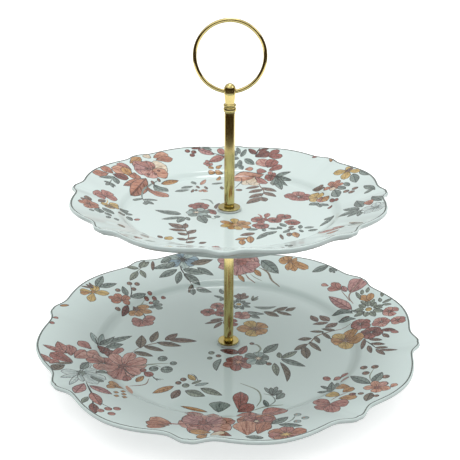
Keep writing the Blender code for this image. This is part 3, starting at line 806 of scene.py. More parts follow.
def outline_share(degrees):
    """Rim radius at this angle over the round blank's, with a pointed tip at 0 degrees."""
    from_tip = abs((degrees + LOBE_STEP / 2) % LOBE_STEP - LOBE_STEP / 2)
    from_middle = 1.0 - from_tip / (LOBE_STEP / 2)
    return 1.0 - 0.077 * from_middle**1.67 + 0.07 * math.exp(-((from_tip / 4.4) ** 2))


def crowd(degrees):
    """The same angle drawn in toward the tips, where the outline turns fastest."""
    return degrees - 0.5 * LOBE_STEP / 360.0 * math.degrees(math.sin(math.radians(degrees * LOBES)))


class PlateForm:
    """A plate's section, and how its round blank is drawn out to the scalloped outline. All in metres."""

    def __init__(self, sizes, shared):
        self.sizes, self.shared = sizes, shared
        self.cove_top = sizes.well_radius + sizes.cove_width
        self.floor = sizes.base + sizes.foot_depth + sizes.wall

    def rise(self, radius):
        """Height of the upper face over the well floor."""
        sizes = self.sizes
        along_cove = np.clip((radius - sizes.well_radius) / sizes.cove_width, 0.0, 1.0)
        start = sizes.well_radius + sizes.cove_width / 2
        along_rim = np.clip((radius - start) / (sizes.radius - start), 0.0, 1.0)
        cove = sizes.cove_rise * along_cove**2 * (3.0 - 2.0 * along_cove)
        return cove + sizes.marly_rise * along_rim * (0.9 + 0.1 * along_rim)

    def share_at(self, angles):
        return np.array([outline_share(math.degrees(angle - self.sizes.turn)) for angle in np.ravel(angles)])

    def drawn(self, radius, angle):
        """Plan of a point of the blank at this radius and angle, stretched to the scalloped outline."""
        share = self.share_at(angle).reshape(np.shape(angle))
        scale = (self.sizes.radius * share - self.cove_top) / (self.sizes.radius - self.cove_top)
        out = np.where(radius > self.cove_top, self.cove_top + (radius - self.cove_top) * scale, radius)
        return np.stack((out * np.cos(angle), out * np.sin(angle)), -1)

    def blank_radius(self, plan):
        """Radius on the round blank of points given in plan."""
        plan = np.asarray(plan, float)
        out = np.hypot(plan[:, 0], plan[:, 1])
        share = self.share_at(np.arctan2(plan[:, 1], plan[:, 0]))
        scale = (self.sizes.radius * share - self.cove_top) / (self.sizes.radius - self.cove_top)
        return np.where(out > self.cove_top, self.cove_top + (out - self.cove_top) / scale, out)

    def ring(self, radius, height, columns):
        turned = columns + self.sizes.turn
        plan = self.drawn(np.full(len(columns), radius), turned)
        return np.column_stack((plan, np.full(len(columns), height)))

    def slopes(self, plan):
        """Upward normals of the upper face at points given in plan."""
        step = 0.02 * MM
        shifts = np.array(((step, 0), (-step, 0), (0, step), (0, -step)))
        east, west, north, south = (self.rise(self.blank_radius(plan + shift)) for shift in shifts)
        slope_x, slope_y = (east - west) / (2 * step), (north - south) / (2 * step)
        normals = np.column_stack((-slope_x, -slope_y, np.ones(len(plan))))
        return normals / np.linalg.norm(normals, axis=1)[:, None]


# how finely a plate is divided: round one lobe and round its hole
LOBE_POINTS = 48
COLUMN_COUNT = LOBES * LOBE_POINTS
COLUMNS = np.radians([crowd(360.0 * index / COLUMN_COUNT) for index in range(COLUMN_COUNT)])
HOLE_POINTS = 48
# points strewn over the bare glaze: rings in each zone, and points a ring in the flat well and outside it
ZONE_RINGS = 14
WELL_RING, RIM_RING = 96, 320
RING_START = 0.37
LIP_STEPS = 8
LIP_DEPTH = 3.0 * MM
# owners of a triangle that no painted shape covers: bare glaze, and the line round the crest
BARE, RIM_LINE = -2, -3


def inlay(form, shapes):
    """The upper face in plan, cut along every painted outline: corners, triangles, each triangle's shape.

    No modelling operator cuts a face along hundreds of crossing outlines, so plates are made in mesh code.
    """
    sizes, shared = form.sizes, form.shared
    hole = shared.hole_radius
    line_inside = sizes.radius - shared.line_width
    crest = form.drawn(np.full(len(COLUMNS), sizes.radius), COLUMNS + sizes.turn)
    inner = form.drawn(np.full(len(COLUMNS), line_inside), COLUMNS + sizes.turn)
    around = np.arange(HOLE_POINTS) * 2 * math.pi / HOLE_POINTS
    bore = np.column_stack((np.cos(around), np.sin(around))) * hole
    points = [Vector(p) for p in crest] + [Vector(p) for p in inner] + [Vector(p) for p in bore]
    count = len(COLUMNS)
    edges = [(count + index, count + (index + 1) % count) for index in range(count)]
    faces = [list(range(count)), [2 * count + index for index in range(HOLE_POINTS)]]
    for outline, *_ in shapes:
        plan = np.array([(p[0] * MM, p[1] * MM) for p in outline])
        blank = form.blank_radius(plan)
        held = np.clip(blank, hole + 2 * MM, line_inside - 0.05 * MM)
        angle = np.arctan2(plan[:, 1], plan[:, 0])
        plan = form.drawn(held, angle)
        faces.append([len(points) + index for index in range(len(plan))])
        points += [Vector(p) for p in plan]
    for inside, outside, steps in (
        (hole + 2.5 * MM, sizes.well_radius - 3 * MM, WELL_RING),
        (sizes.well_radius - 1 * MM, form.cove_top + 1 * MM, RIM_RING),
        (form.cove_top + 3 * MM, sizes.radius - 1.8 * MM, RIM_RING),
    ):
        angles = (np.arange(steps) + RING_START) * 2 * math.pi / steps
        for radius in np.linspace(inside, outside, ZONE_RINGS):
            points += [Vector(p) for p in form.drawn(np.full(steps, radius), angles)]
    made = delaunay_2d_cdt(points, edges, faces, 1, 1e-7, True)
    corners = np.array([tuple(p) for p in made[0]])
    # face 0 is the whole plate and face 1 the hole; of the painted faces, the one laid last shows
    kept = [(face, covers) for face, covers in zip(made[2], made[5]) if 0 in covers and 1 not in covers]
    triangles = np.array([face for face, _ in kept])
    owner = np.array([max(covers) - 2 for _, covers in kept])
    first, second, third = np.moveaxis(corners[triangles], 1, 0)
    (one_x, one_y), (two_x, two_y) = (second - first).T, (third - first).T
    clockwise = one_x * two_y < one_y * two_x
    triangles[clockwise] = triangles[clockwise][:, ::-1]
    middles = corners[triangles].mean(axis=1)
    owner[(owner == BARE) & (form.blank_radius(middles) > line_inside)] = RIM_LINE
    # corners of the crest and of the bore, in their order round the plate
    rim = [int(np.argmin(np.hypot(*(corners - p).T))) for p in crest]
    lip = [int(np.argmin(np.hypot(*(corners - p).T))) for p in bore]
    return corners, triangles, owner, rim, lip


def plate_mesh(name, sizes, shared, shapes, ink_of):
    """The whole glazed plate as one closed mesh, with the print held in attributes of its upper face."""
    form = PlateForm(sizes, shared)
    plan, triangles, owner, rim, bore = inlay(form, shapes)
    floor = form.floor
    heights = floor + form.rise(form.blank_radius(plan))
    points = [tuple(p) for p in np.column_stack((plan, heights))]
    faces = [tuple(t) for t in triangles]
    biscuit = []

    def band(upper, lower, unglazed=False):
        count = len(upper)
        for index in range(count):
            after = (index + 1) % count
            if unglazed:
                biscuit.append(len(faces))
            faces.append((upper[after], upper[index], lower[index], lower[after]))

    def add_ring(radius, height, columns=COLUMNS):
        start = len(points)
        points.extend(tuple(p) for p in form.ring(radius, height, columns))
        return list(range(start, len(points)))

    crest_height = floor + float(form.rise(np.array([sizes.radius]))[0])
    ring = rim
    for step in range(1, LIP_STEPS + 1):
        turn = math.pi * step / LIP_STEPS
        out = sizes.radius + shared.lip * math.sin(turn) - 0.35 * MM * step / LIP_STEPS
        new = add_ring(out, crest_height - LIP_DEPTH * (1 - math.cos(turn)) / 2)
        band(ring, new)
        ring = new
    foot_top = sizes.base + sizes.foot_depth
    under = []
    for radius in np.linspace(sizes.radius - 1.6 * MM, form.cove_top, 7):
        under.append((radius, floor + float(form.rise(np.array([radius]))[0]) - shared.rim_wall))
    for radius in np.linspace(form.cove_top - 2 * MM, sizes.foot_radius + 1.4 * MM, 5):
        base_of = floor + float(form.rise(np.array([radius]))[0]) - shared.rim_wall - 0.4 * MM
        under.append((radius, max(base_of, foot_top + 0.3 * MM)))
    for radius, height in under:
        new = add_ring(radius, height)
        band(ring, new)
        ring = new
    foot, base = sizes.foot_radius, sizes.base
    section = [
        (foot + 0.35 * MM, foot_top - 0.9 * MM, False),
        (foot, foot_top - 2.2 * MM, False),
        (foot - 0.15 * MM, base + 0.9 * MM, False),
        (foot - 0.45 * MM, base + 0.25 * MM, False),
        (foot - 0.9 * MM, base, True),
        (foot - 1.9 * MM, base, True),
        (foot - 2.4 * MM, base + 0.25 * MM, False),
        (foot - 2.8 * MM, base + 0.9 * MM, False),
        (foot - 4.0 * MM, foot_top - 1.2 * MM, False),
        (foot - 5.2 * MM, foot_top - 0.3 * MM, False),
        (foot - 7.5 * MM, foot_top, False),
    ]
    for radius, height, unglazed in section:
        new = add_ring(radius, height)
        band(ring, new, unglazed)
        ring = new
    hole = list(range(len(points), len(points) + HOLE_POINTS))
    for angle in np.arange(HOLE_POINTS) * 2 * math.pi / HOLE_POINTS:
        x, y = shared.hole_radius * math.cos(angle), shared.hole_radius * math.sin(angle)
        points.append((x, y, foot_top))
    # flat of the recess: outer ring to the hole
    step = len(COLUMNS) // HOLE_POINTS
    turned = (COLUMNS + sizes.turn) % (2 * math.pi)
    first = int(np.argmin(np.abs(np.angle(np.exp(1j * turned)))))
    ring = ring[first:] + ring[:first]
    for index in range(HOLE_POINTS):
        after = (index + 1) % HOLE_POINTS
        outer = [ring[(index * step + k) % len(ring)] for k in range(step + 1)]
        for k in range(step):
            faces.append((outer[k + 1], outer[k], hole[index]))
        faces.append((outer[step], hole[index], hole[after]))
    for index in range(HOLE_POINTS):
        after = (index + 1) % HOLE_POINTS
        faces.append((hole[after], hole[index], bore[index], bore[after]))
    mesh = bpy.data.meshes.new(name)
    mesh.from_pydata(points, [], faces)
    for polygon in mesh.polygons:
        polygon.use_smooth = True
    for index in biscuit:
        mesh.polygons[index].material_index = 1
    paint(mesh, form, np.array(points), triangles, owner, shapes, ink_of)
    normals = np.zeros((len(mesh.loops), 3))
    upper = form.slopes(plan)[triangles].reshape(-1, 3)
    normals[: len(upper)] = upper
    mesh.normals_split_custom_set([tuple(n) for n in normals])
    return mesh


def paint(mesh, form, points, triangles, owner, shapes, ink_of):
    """Writes the print to the upper face's corners: light ink, deep ink with its kind, and brush frame."""
    inks = np.zeros((len(mesh.loops), 4), np.float32)
    deep = np.zeros((len(mesh.loops), 4), np.float32)
    frames = np.zeros((len(mesh.loops), 2), np.float32)
    for index, (triangle, shape) in enumerate(zip(triangles, owner)):
        if shape == RIM_LINE:
            inks[3 * index : 3 * index + 3] = (*ink_of["rim"][0], 1.0)
            deep[3 * index : 3 * index + 3] = (*ink_of["rim"][1], PLAIN)
        if shape < 0:
            continue
        _, tone, kind, base, reach, half_width = shapes[shape]
        light, dark = ink_of[tone]
        inks[3 * index : 3 * index + 3] = (*light, 1.0)
        deep[3 * index : 3 * index + 3] = (*dark, kind)
        long = reach.length_squared or 1.0
        across = Vector((-reach.y, reach.x)).normalized()
        for corner in range(3):
            offset = Vector(points[triangle[corner]][:2]) / MM - base
            frames[3 * index + corner] = (offset.dot(reach) / long, offset.dot(across) / half_width)
    for name, values in (("ink", inks), ("deep", deep)):
        mesh.attributes.new(name, "FLOAT_COLOR", "CORNER").data.foreach_set("color", values.ravel())
    mesh.uv_layers.new(name="motif").uv.foreach_set("vector", frames.ravel())


# Finishes. Sizes of every pattern are in millimetres.


def add_node(tree, kind, inputs=(), **settings):
    """Adds a shader node. An input, in order or by name, is a value, a socket, or a node that feeds it."""
    node = tree.nodes.new("ShaderNode" + kind)
    for name, value in settings.items():
        setattr(node, name, value)
    for key, value in inputs.items() if isinstance(inputs, dict) else enumerate(inputs):
        if isinstance(value, bpy.types.Node):
            value = next(socket for socket in value.outputs if socket.enabled)
        if isinstance(value, bpy.types.NodeSocket):
            tree.links.new(value, node.inputs[key])
        else:
            node.inputs[key].default_value = value
    return node


def new_material(name):
    """An empty material: itself, its node tree, and the piece's own coordinates in metres."""
    material = bpy.data.materials.new(name)
    material.use_nodes = True
    tree = material.node_tree
    tree.nodes.clear()
    return material, tree, add_node(tree, "TexCoord").outputs["Object"]


def per_metre(millimetres):
    """Scale of a noise whose features are this wide."""
    return 1.0 / (millimetres * MM)


def opaque(tone, share=1.0):
    """A colour, or a share of it, with its alpha."""
    return (*[channel * share for channel in tone], 1.0)


def printed_glaze(colours):
    """Porcelain under a glossy pale blue-green glaze, with a soft in-glaze print in watercolour tones."""
    material, tree, place = new_material("glazed_porcelain_printed")
    ink = add_node(tree, "Attribute", attribute_name="ink", attribute_type="GEOMETRY")
    deep = add_node(tree, "Attribute", attribute_name="deep", attribute_type="GEOMETRY")
    along, across, _ = add_node(tree, "SeparateXYZ", [add_node(tree, "UVMap", uv_map="motif")]).outputs
    aside = add_node(tree, "Math", [across], operation="ABSOLUTE")
    # the kind of shape: plain 0, leaf a half, petal 1
    petal = add_node(tree, "Math", [deep.outputs["Alpha"], 0.75], operation="GREATER_THAN")
    not_plain = add_node(tree, "Math", [deep.outputs["Alpha"], 0.25], operation="GREATER_THAN")
    leaf = add_node(tree, "Math", [not_plain, petal], operation="SUBTRACT")
    # pigment pools in blots about 2.5 mm wide, with finer grain inside them
    wash = add_node(tree, "TexNoise", {"Vector": place, "Scale": per_metre(2.5), "Detail": 3.0})
    speck = add_node(tree, "TexNoise", {"Vector": place, "Scale": per_metre(0.7), "Detail": 1.0})
    # petals: streaks fanning out from the heart, which is darker
    reach = add_node(tree, "Math", [along, 0.35], operation="ADD")
    fan = add_node(tree, "Math", [across, reach], operation="DIVIDE")
    fine_fan = add_node(tree, "Math", [fan, 5.0], operation="MULTIPLY")
    waver = add_node(tree, "Math", [wash, 0.6], operation="MULTIPLY")
    rays = add_node(tree, "CombineXYZ", [fine_fan, along, waver])
    streak = add_node(tree, "TexNoise", {"Vector": rays, "Scale": 1.6, "Detail": 1.0})
    streaks = add_node(tree, "Math", [streak, 3.0, -1.5], operation="MULTIPLY_ADD")
    inward = add_node(tree, "Math", [1.0, along], operation="SUBTRACT", use_clamp=True)
    heart = add_node(tree, "Math", [inward, 0.55], operation="MULTIPLY")
    petal_tone = add_node(tree, "Math", [heart, streaks], operation="ADD", use_clamp=True)
    # leaves: one half deeper than the other, a dark rib and slanting veins
    rib = add_node(tree, "Math", [aside, 0.1], operation="LESS_THAN")
    far_side = add_node(tree, "Math", [across, 0.0], operation="GREATER_THAN")
    half = add_node(tree, "Math", [far_side, 0.3], operation="MULTIPLY")
    steps = add_node(tree, "Math", [along, 32.0], operation="MULTIPLY")
    lean = add_node(tree, "Math", [aside, 5.0], operation="MULTIPLY")
    slant = add_node(tree, "Math", [steps, lean], operation="SUBTRACT")
    wave = add_node(tree, "Math", [slant], operation="SINE")
    crest = add_node(tree, "Math", [wave, 0.72], operation="GREATER_THAN")
    vein = add_node(tree, "Math", [crest, 0.45], operation="MULTIPLY")
    halves = add_node(tree, "Math", [half, vein], operation="ADD")
    leaf_tone = add_node(tree, "Math", [rib, halves], operation="MAXIMUM")
    shade = add_node(tree, "Math", [wash, 1.4, -0.5], operation="MULTIPLY_ADD", use_clamp=True)
    leafy = add_node(tree, "Math", [leaf, leaf_tone, shade], operation="MULTIPLY_ADD")
    tone = add_node(tree, "Math", [petal, petal_tone, leafy], operation="MULTIPLY_ADD", use_clamp=True)
    pigment = add_node(tree, "Mix", {0: tone, 6: ink, 7: deep}, data_type="RGBA")
    # the pigment is thinner where the brush ran dry
    dry = add_node(tree, "Math", [speck, -0.6, 1.25], operation="MULTIPLY_ADD", use_clamp=True)
    cover = add_node(tree, "Math", [ink.outputs["Alpha"], dry], operation="MULTIPLY")
    cloud = add_node(tree, "TexNoise", {"Vector": place, "Scale": per_metre(30.0)})
    glaze = (opaque(colours.glaze, 0.985), opaque(colours.glaze))
    body = add_node(tree, "Mix", {0: cloud, 6: glaze[0], 7: glaze[1]}, data_type="RGBA")
    printed = add_node(tree, "Mix", {0: cover, 6: body, 7: pigment}, data_type="RGBA")
    # orange peel of the fired glaze, waves about 5 mm long and a few microns deep
    peel = add_node(tree, "TexNoise", {"Vector": place, "Scale": per_metre(5.0), "Detail": 1.0})
    waves = add_node(tree, "Bump", {"Strength": 1.0, "Distance": 0.012 * MM, "Height": peel})
    finish = {
        "Base Color": printed,
        "Roughness": 0.42,
        "Specular IOR Level": 0.0,
        "Coat Weight": 1.0,
        "Coat Roughness": 0.035,
        "Coat Normal": waves,
    }
    add_node(tree, "OutputMaterial", [add_node(tree, "BsdfPrincipled", finish)])
    return material


def clouded(name, tones, millimetres, detail, finish, relief=None, drifts="Base Color"):
    """A material with one colour socket that drifts between two near tones in patches this wide.

    The finish gives its other sockets; relief is a bump's grain in millimetres, its detail and its depth.
    """
    material, tree, place = new_material(name)
    scale = per_metre(millimetres)
    patches = add_node(tree, "TexNoise", {"Vector": place, "Scale": scale, "Detail": detail})
    colour_of = add_node(tree, "Mix", {0: patches, 6: tones[0], 7: tones[1]}, data_type="RGBA")
    sockets = {drifts: colour_of, **finish}
    if relief:
        fine, fine_detail, depth = relief
        scale = per_metre(fine)
        grain = add_node(tree, "TexNoise", {"Vector": place, "Scale": scale, "Detail": fine_detail})
        heights = {"Strength": 1.0, "Distance": depth * MM, "Height": grain}
        sockets["Normal"] = add_node(tree, "Bump", heights)
    add_node(tree, "OutputMaterial", [add_node(tree, "BsdfPrincipled", sockets)])
    return material


def unglazed_foot(colours):
    """Bare fired biscuit where the foot ring stands on the table: matt, with fine open pores."""
    tones = (opaque(colours.biscuit, 0.78), opaque(colours.biscuit))
    return clouded("unglazed_biscuit_foot", tones, 0.8, 4.0, {"Roughness": 0.85}, (0.25, 3.0, 0.03))


def brass_finish(name, colours, stretch, low, high, depth):
    """Lacquered yellow brass whose marks, 0.35 mm across, run the way that the stretch leaves long."""
    material, tree, place = new_material(name)
    scale = [share * per_metre(0.35) for share in stretch]
    run = add_node(tree, "Mapping", {"Vector": place, "Scale": scale})
    marks = add_node(tree, "TexNoise", {"Vector": run, "Scale": 1.0, "Detail": 3.0})
    clouds = add_node(tree, "TexNoise", {"Vector": place, "Scale": per_metre(9.0), "Detail": 2.0})
    shades = {0: clouds, 6: opaque(colours.brass, 0.86), 7: opaque(colours.brass)}
    finish = {
        "Base Color": add_node(tree, "Mix", shades, data_type="RGBA"),
        "Metallic": 1.0,
        "Roughness": add_node(tree, "Math", [marks, high - low, low], operation="MULTIPLY_ADD"),
        "Normal": add_node(tree, "Bump", {"Strength": 1.0, "Distance": depth * MM, "Height": marks}),
    }
    add_node(tree, "OutputMaterial", [add_node(tree, "BsdfPrincipled", finish)])
    return material


def zinc_finish(colours):
    """Bright zinc plate on steel, clouded in patches about 1.5 mm wide."""
    material, tree, place = new_material("zinc_plated_steel")
    patches = add_node(tree, "TexNoise", {"Vector": place, "Scale": per_metre(1.5), "Detail": 3.0})
    shades = {0: patches, 6: opaque(colours.zinc, 0.8), 7: opaque(colours.zinc)}
    finish = {
        "Base Color": add_node(tree, "Mix", shades, data_type="RGBA"),
        "Metallic": 1.0,
        "Roughness": add_node(tree, "Math", [patches, 0.25, 0.2], operation="MULTIPLY_ADD"),
    }
    add_node(tree, "OutputMaterial", [add_node(tree, "BsdfPrincipled", finish)])
    return material


def silicone_finish(colours):
    """Clear silicone rubber, milky in its thickness, with a satin moulded face."""
    tones = (opaque(colours.silicone, 0.9), opaque(colours.silicone))
    finish = {"Roughness": 0.34, "IOR": 1.41, "Transmission Weight": 0.35}
    return clouded("clear_silicone", tones, 3.0, 2.0, finish, (0.4, 2.0, 0.01))


def studio_floor_finish(colours):
    """Matt painted board, lit a little from within so that its shadows stay pale."""
    tones = (opaque(colours.floor, 0.99), opaque(colours.floor))
    finish = {
        "Roughness": 0.9,
        "Specular IOR Level": 0.0,
        "Emission Color": opaque(colours.floor),
        "Emission Strength": 0.5,
    }
    return clouded("matt_painted_board", tones, 60.0, 2.0, finish)


def studio_wall_finish(colours):
    """White wall that is only lit from within."""
    tones = (opaque(colours.floor, 0.98), opaque(colours.floor))
    finish = {"Base Color": (0.0, 0.0, 0.0, 1.0), "Specular IOR Level": 0.0, "Emission Strength": 1.06}
    return clouded("lit_white_wall", tones, 900.0, 2.0, finish, drifts="Emission Color")


def card_finish():
    """Dark brown felt on the screen that the brass mirrors."""
    tones = (opaque(linear("#4A3A24")), opaque(linear("#5A4830")))
    finish = {"Roughness": 1.0, "Specular IOR Level": 0.0}
    return clouded("brown_felt_card", tones, 40.0, 2.0, finish)


# Modelling of the metal and rubber pieces

# sides of a turned piece and of a thread, and rows of faces in one pitch
TURNED_SIDES = 96
THREAD_SIDES = 40
ROWS_A_PITCH = 7
# a thread is cut this share of its pitch deep; two corners nearer than this are one
THREAD_DEPTH = 0.61
WELD = 0.001 * MM
# radius of the hole in each disc, gasket and washer, in millimetres
STUD_HOLE = 2.3


def ready():
    """Object mode with nothing selected."""
    if bpy.context.object and bpy.context.object.mode != "OBJECT":
        bpy.ops.object.mode_set(mode="OBJECT")
    bpy.ops.object.select_all(action="DESELECT")


def arc(centre, radii, start, end, steps):
    """Points on an ellipse, from one angle to another in degrees."""
    angles = [math.radians(start + (end - start) * step / steps) for step in range(steps + 1)]
    return [(centre[0] + radii[0] * math.cos(a), centre[1] + radii[1] * math.sin(a)) for a in angles]


def lathe(name, profile, sides=TURNED_SIDES, ring=False):
    """A turned piece: a circle drawn out ring by ring along a profile of radii and heights in mm."""
    ready()
    profile = [(radius * MM, height * MM) for radius, height in profile]
    radius, height = profile[0]
    bpy.ops.mesh.primitive_circle_add(vertices=sides, radius=radius, location=(0.0, 0.0, height))
    piece = bpy.context.object
    piece.name = piece.data.name = name
    bpy.ops.object.mode_set(mode="EDIT")
    bpy.ops.mesh.select_mode(type="EDGE")
    bpy.ops.mesh.select_all(action="SELECT")
    if not ring:
        bpy.ops.mesh.edge_face_add()
    for wider, higher in profile[1:]:
        bpy.ops.mesh.extrude_edges_move(TRANSFORM_OT_translate={"value": (0.0, 0.0, higher - height)})
        share = wider / radius
        bpy.ops.transform.resize(value=(share, share, 1.0), center_override=(0.0, 0.0, higher))
        radius, height = wider, higher
    if not ring:
        bpy.ops.mesh.edge_face_add()
    bpy.ops.mesh.select_all(action="SELECT")
    bpy.ops.mesh.remove_doubles(threshold=WELD)
    bpy.ops.mesh.normals_make_consistent(inside=False)
    bpy.ops.object.mode_set(mode="OBJECT")
    return piece


def settle(piece, node, body, finish, angle=30.0):
    """Freezes the place, shades it, and hangs it on its body in place of the plain node."""
    ready()
    piece.select_set(True)
    bpy.context.view_layer.objects.active = piece
    bpy.ops.object.transform_apply(location=True, rotation=True, scale=True)
    if angle:
        bpy.ops.object.shade_smooth_by_angle(angle=math.radians(angle))
    if not piece.data.materials:
        piece.data.materials.append(finish)
    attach(piece, body)
    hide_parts(node)


def modify(piece, kind, **settings):
    """Adds one modifier with its settings and applies it."""
    ready()
    piece.select_set(True)
    bpy.context.view_layer.objects.active = piece
    bpy.ops.object.modifier_add(type=kind)
    made = piece.modifiers[-1]
    for key, value in settings.items():
        setattr(made, key, value)
    bpy.ops.object.modifier_apply(modifier=made.name)


def cut_away(piece, tool):
    """Cuts the tool's shape out of the piece, and removes the tool."""
    modify(piece, "BOOLEAN", operation="DIFFERENCE", object=tool, solver="EXACT")
    bpy.data.objects.remove(tool)


def flat_ring(name, outer, inner, base, thickness, edge):
    """Washer or gasket: a flat ring with rounded edges inside and out."""
    top = base + thickness
    soft = min(edge, 0.15)
    profile = arc((outer - edge, top - edge), (edge, edge), 90.0, 0.0, 6)
    profile += arc((outer - edge, base + edge), (edge, edge), 0.0, -90.0, 6)
    profile += arc((inner + soft, base + soft), (soft, soft), -90.0, -180.0, 3)
    profile += arc((inner + soft, top - soft), (soft, soft), 180.0, 90.0, 3)
    return lathe(name, profile + profile[:1], ring=True)


def cut_thread(piece, sizes, low, high):
    """Sinks a metric thread into the straight shank between the two heights."""
    pitch, crest = sizes.thread_pitch, sizes.stud_radius
    for vertex in piece.data.vertices:
        x, y, z = vertex.co
        height = z + piece.location.z
        out = math.hypot(x, y)
        if out < crest * 0.55 or not low <= height <= high:
            continue
        turn = (height / pitch - math.atan2(y, x) / (2 * math.pi)) % 1.0
        sunk = THREAD_DEPTH * pitch * min(max(1.0 - 2.5 * abs(turn - 0.5), 0.0), 0.95)
        runout = min((height - low) / pitch, (high - height) / (0.6 * pitch), 1.0)
        share = (out - sunk * max(runout, 0.0) * min(out / crest, 1.0)) / out
        vertex.co = (x * share, y * share, z)


def stud_profile(low, high, radius, pitch):
    """A straight rod with chamfered ends, in rows fine enough to cut its thread."""
    rows = max(2, round((high - low) / (pitch / ROWS_A_PITCH)))
    heights = [low + (high - low) * row / rows for row in range(rows + 1)]
    return [(min(radius, radius - 0.5 + min(h - low, high - h)), h) for h in heights]


def rod_piece(name, sizes):
    """Drawn brass tube, its ends trimmed square and broken with a fine bevel."""
    low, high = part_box(name)[0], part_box(name)[1]
    ready()
    bpy.ops.mesh.primitive_cylinder_add(
        vertices=TURNED_SIDES,
        radius=high.x,
        depth=high.z - low.z,
        end_fill_type="NOTHING",
        location=(0.0, 0.0, (low.z + high.z) / 2),
    )
    piece = bpy.context.object
    piece.name = piece.data.name = name + "_tube"
    modify(piece, "SOLIDIFY", thickness=sizes.rod_wall, offset=-1.0)
    corner = math.radians(60.0)
    modify(piece, "BEVEL", width=0.16 * MM, segments=3, limit_method="ANGLE", angle_limit=corner)
    return piece


def cross_cutter(base, depth):
    """A four-armed driver bit, narrower at its tip."""
    ready()
    bpy.ops.mesh.primitive_cube_add(size=1.0, location=(0.0, 0.0, base * MM))
    tool = bpy.context.object
    tool.dimensions = (1.1 * MM, 1.1 * MM, 2 * depth * MM)
    bpy.context.view_layer.update()
    bpy.ops.object.transform_apply(location=True, rotation=True, scale=True)
    bpy.ops.object.mode_set(mode="EDIT")
    bpy.ops.mesh.select_mode(type="FACE")
    for x, y in ((1, 0), (-1, 0), (0, 1), (0, -1)):
        bpy.ops.mesh.select_all(action="DESELECT")
        bpy.ops.object.mode_set(mode="OBJECT")
        for face in tool.data.polygons:
            face.select = face.normal.dot(Vector((x, y, 0))) > 0.9 and face.center.length < 5 * MM
        bpy.ops.object.mode_set(mode="EDIT")
        out = (x * 1.75 * MM, y * 1.75 * MM, 0.0)
        bpy.ops.mesh.extrude_region_move(TRANSFORM_OT_translate={"value": out})
    bpy.ops.object.mode_set(mode="OBJECT")
    for vertex in tool.data.vertices:
        if vertex.co.z > base * MM:
            vertex.co.x *= 0.7
            vertex.co.y *= 0.7
    return tool


# Operators, one for each piece or group of like pieces

FINISHES = {}


def finishes():
    """Every material, made once."""
    if not FINISHES:
        colours = bpy.context.scene.stand_colours
        FINISHES.update(
            glaze=printed_glaze(colours),
            foot=unglazed_foot(colours),
            drawn=brass_finish("drawn_lacquered_brass", colours, (1.0, 1.0, 0.012), 0.13, 0.2, 0.002),
            turned=brass_finish("turned_lacquered_brass", colours, (0.08, 0.08, 1.0), 0.12, 0.2, 0.003),
            wire=brass_finish("polished_brass_wire", colours, (0.2, 0.2, 0.2), 0.1, 0.16, 0.002),
            zinc=zinc_finish(colours),
            silicone=silicone_finish(colours),
        )
    return FINISHES


CAMERA_LENS = 59.21
CAMERA_PLACE = (0.0, -0.4783, 0.2920)
# heading, tilt up from straight down, and roll, in radians
CAMERA_TURNS = (-0.0013, math.radians(67.893), 0.0062)


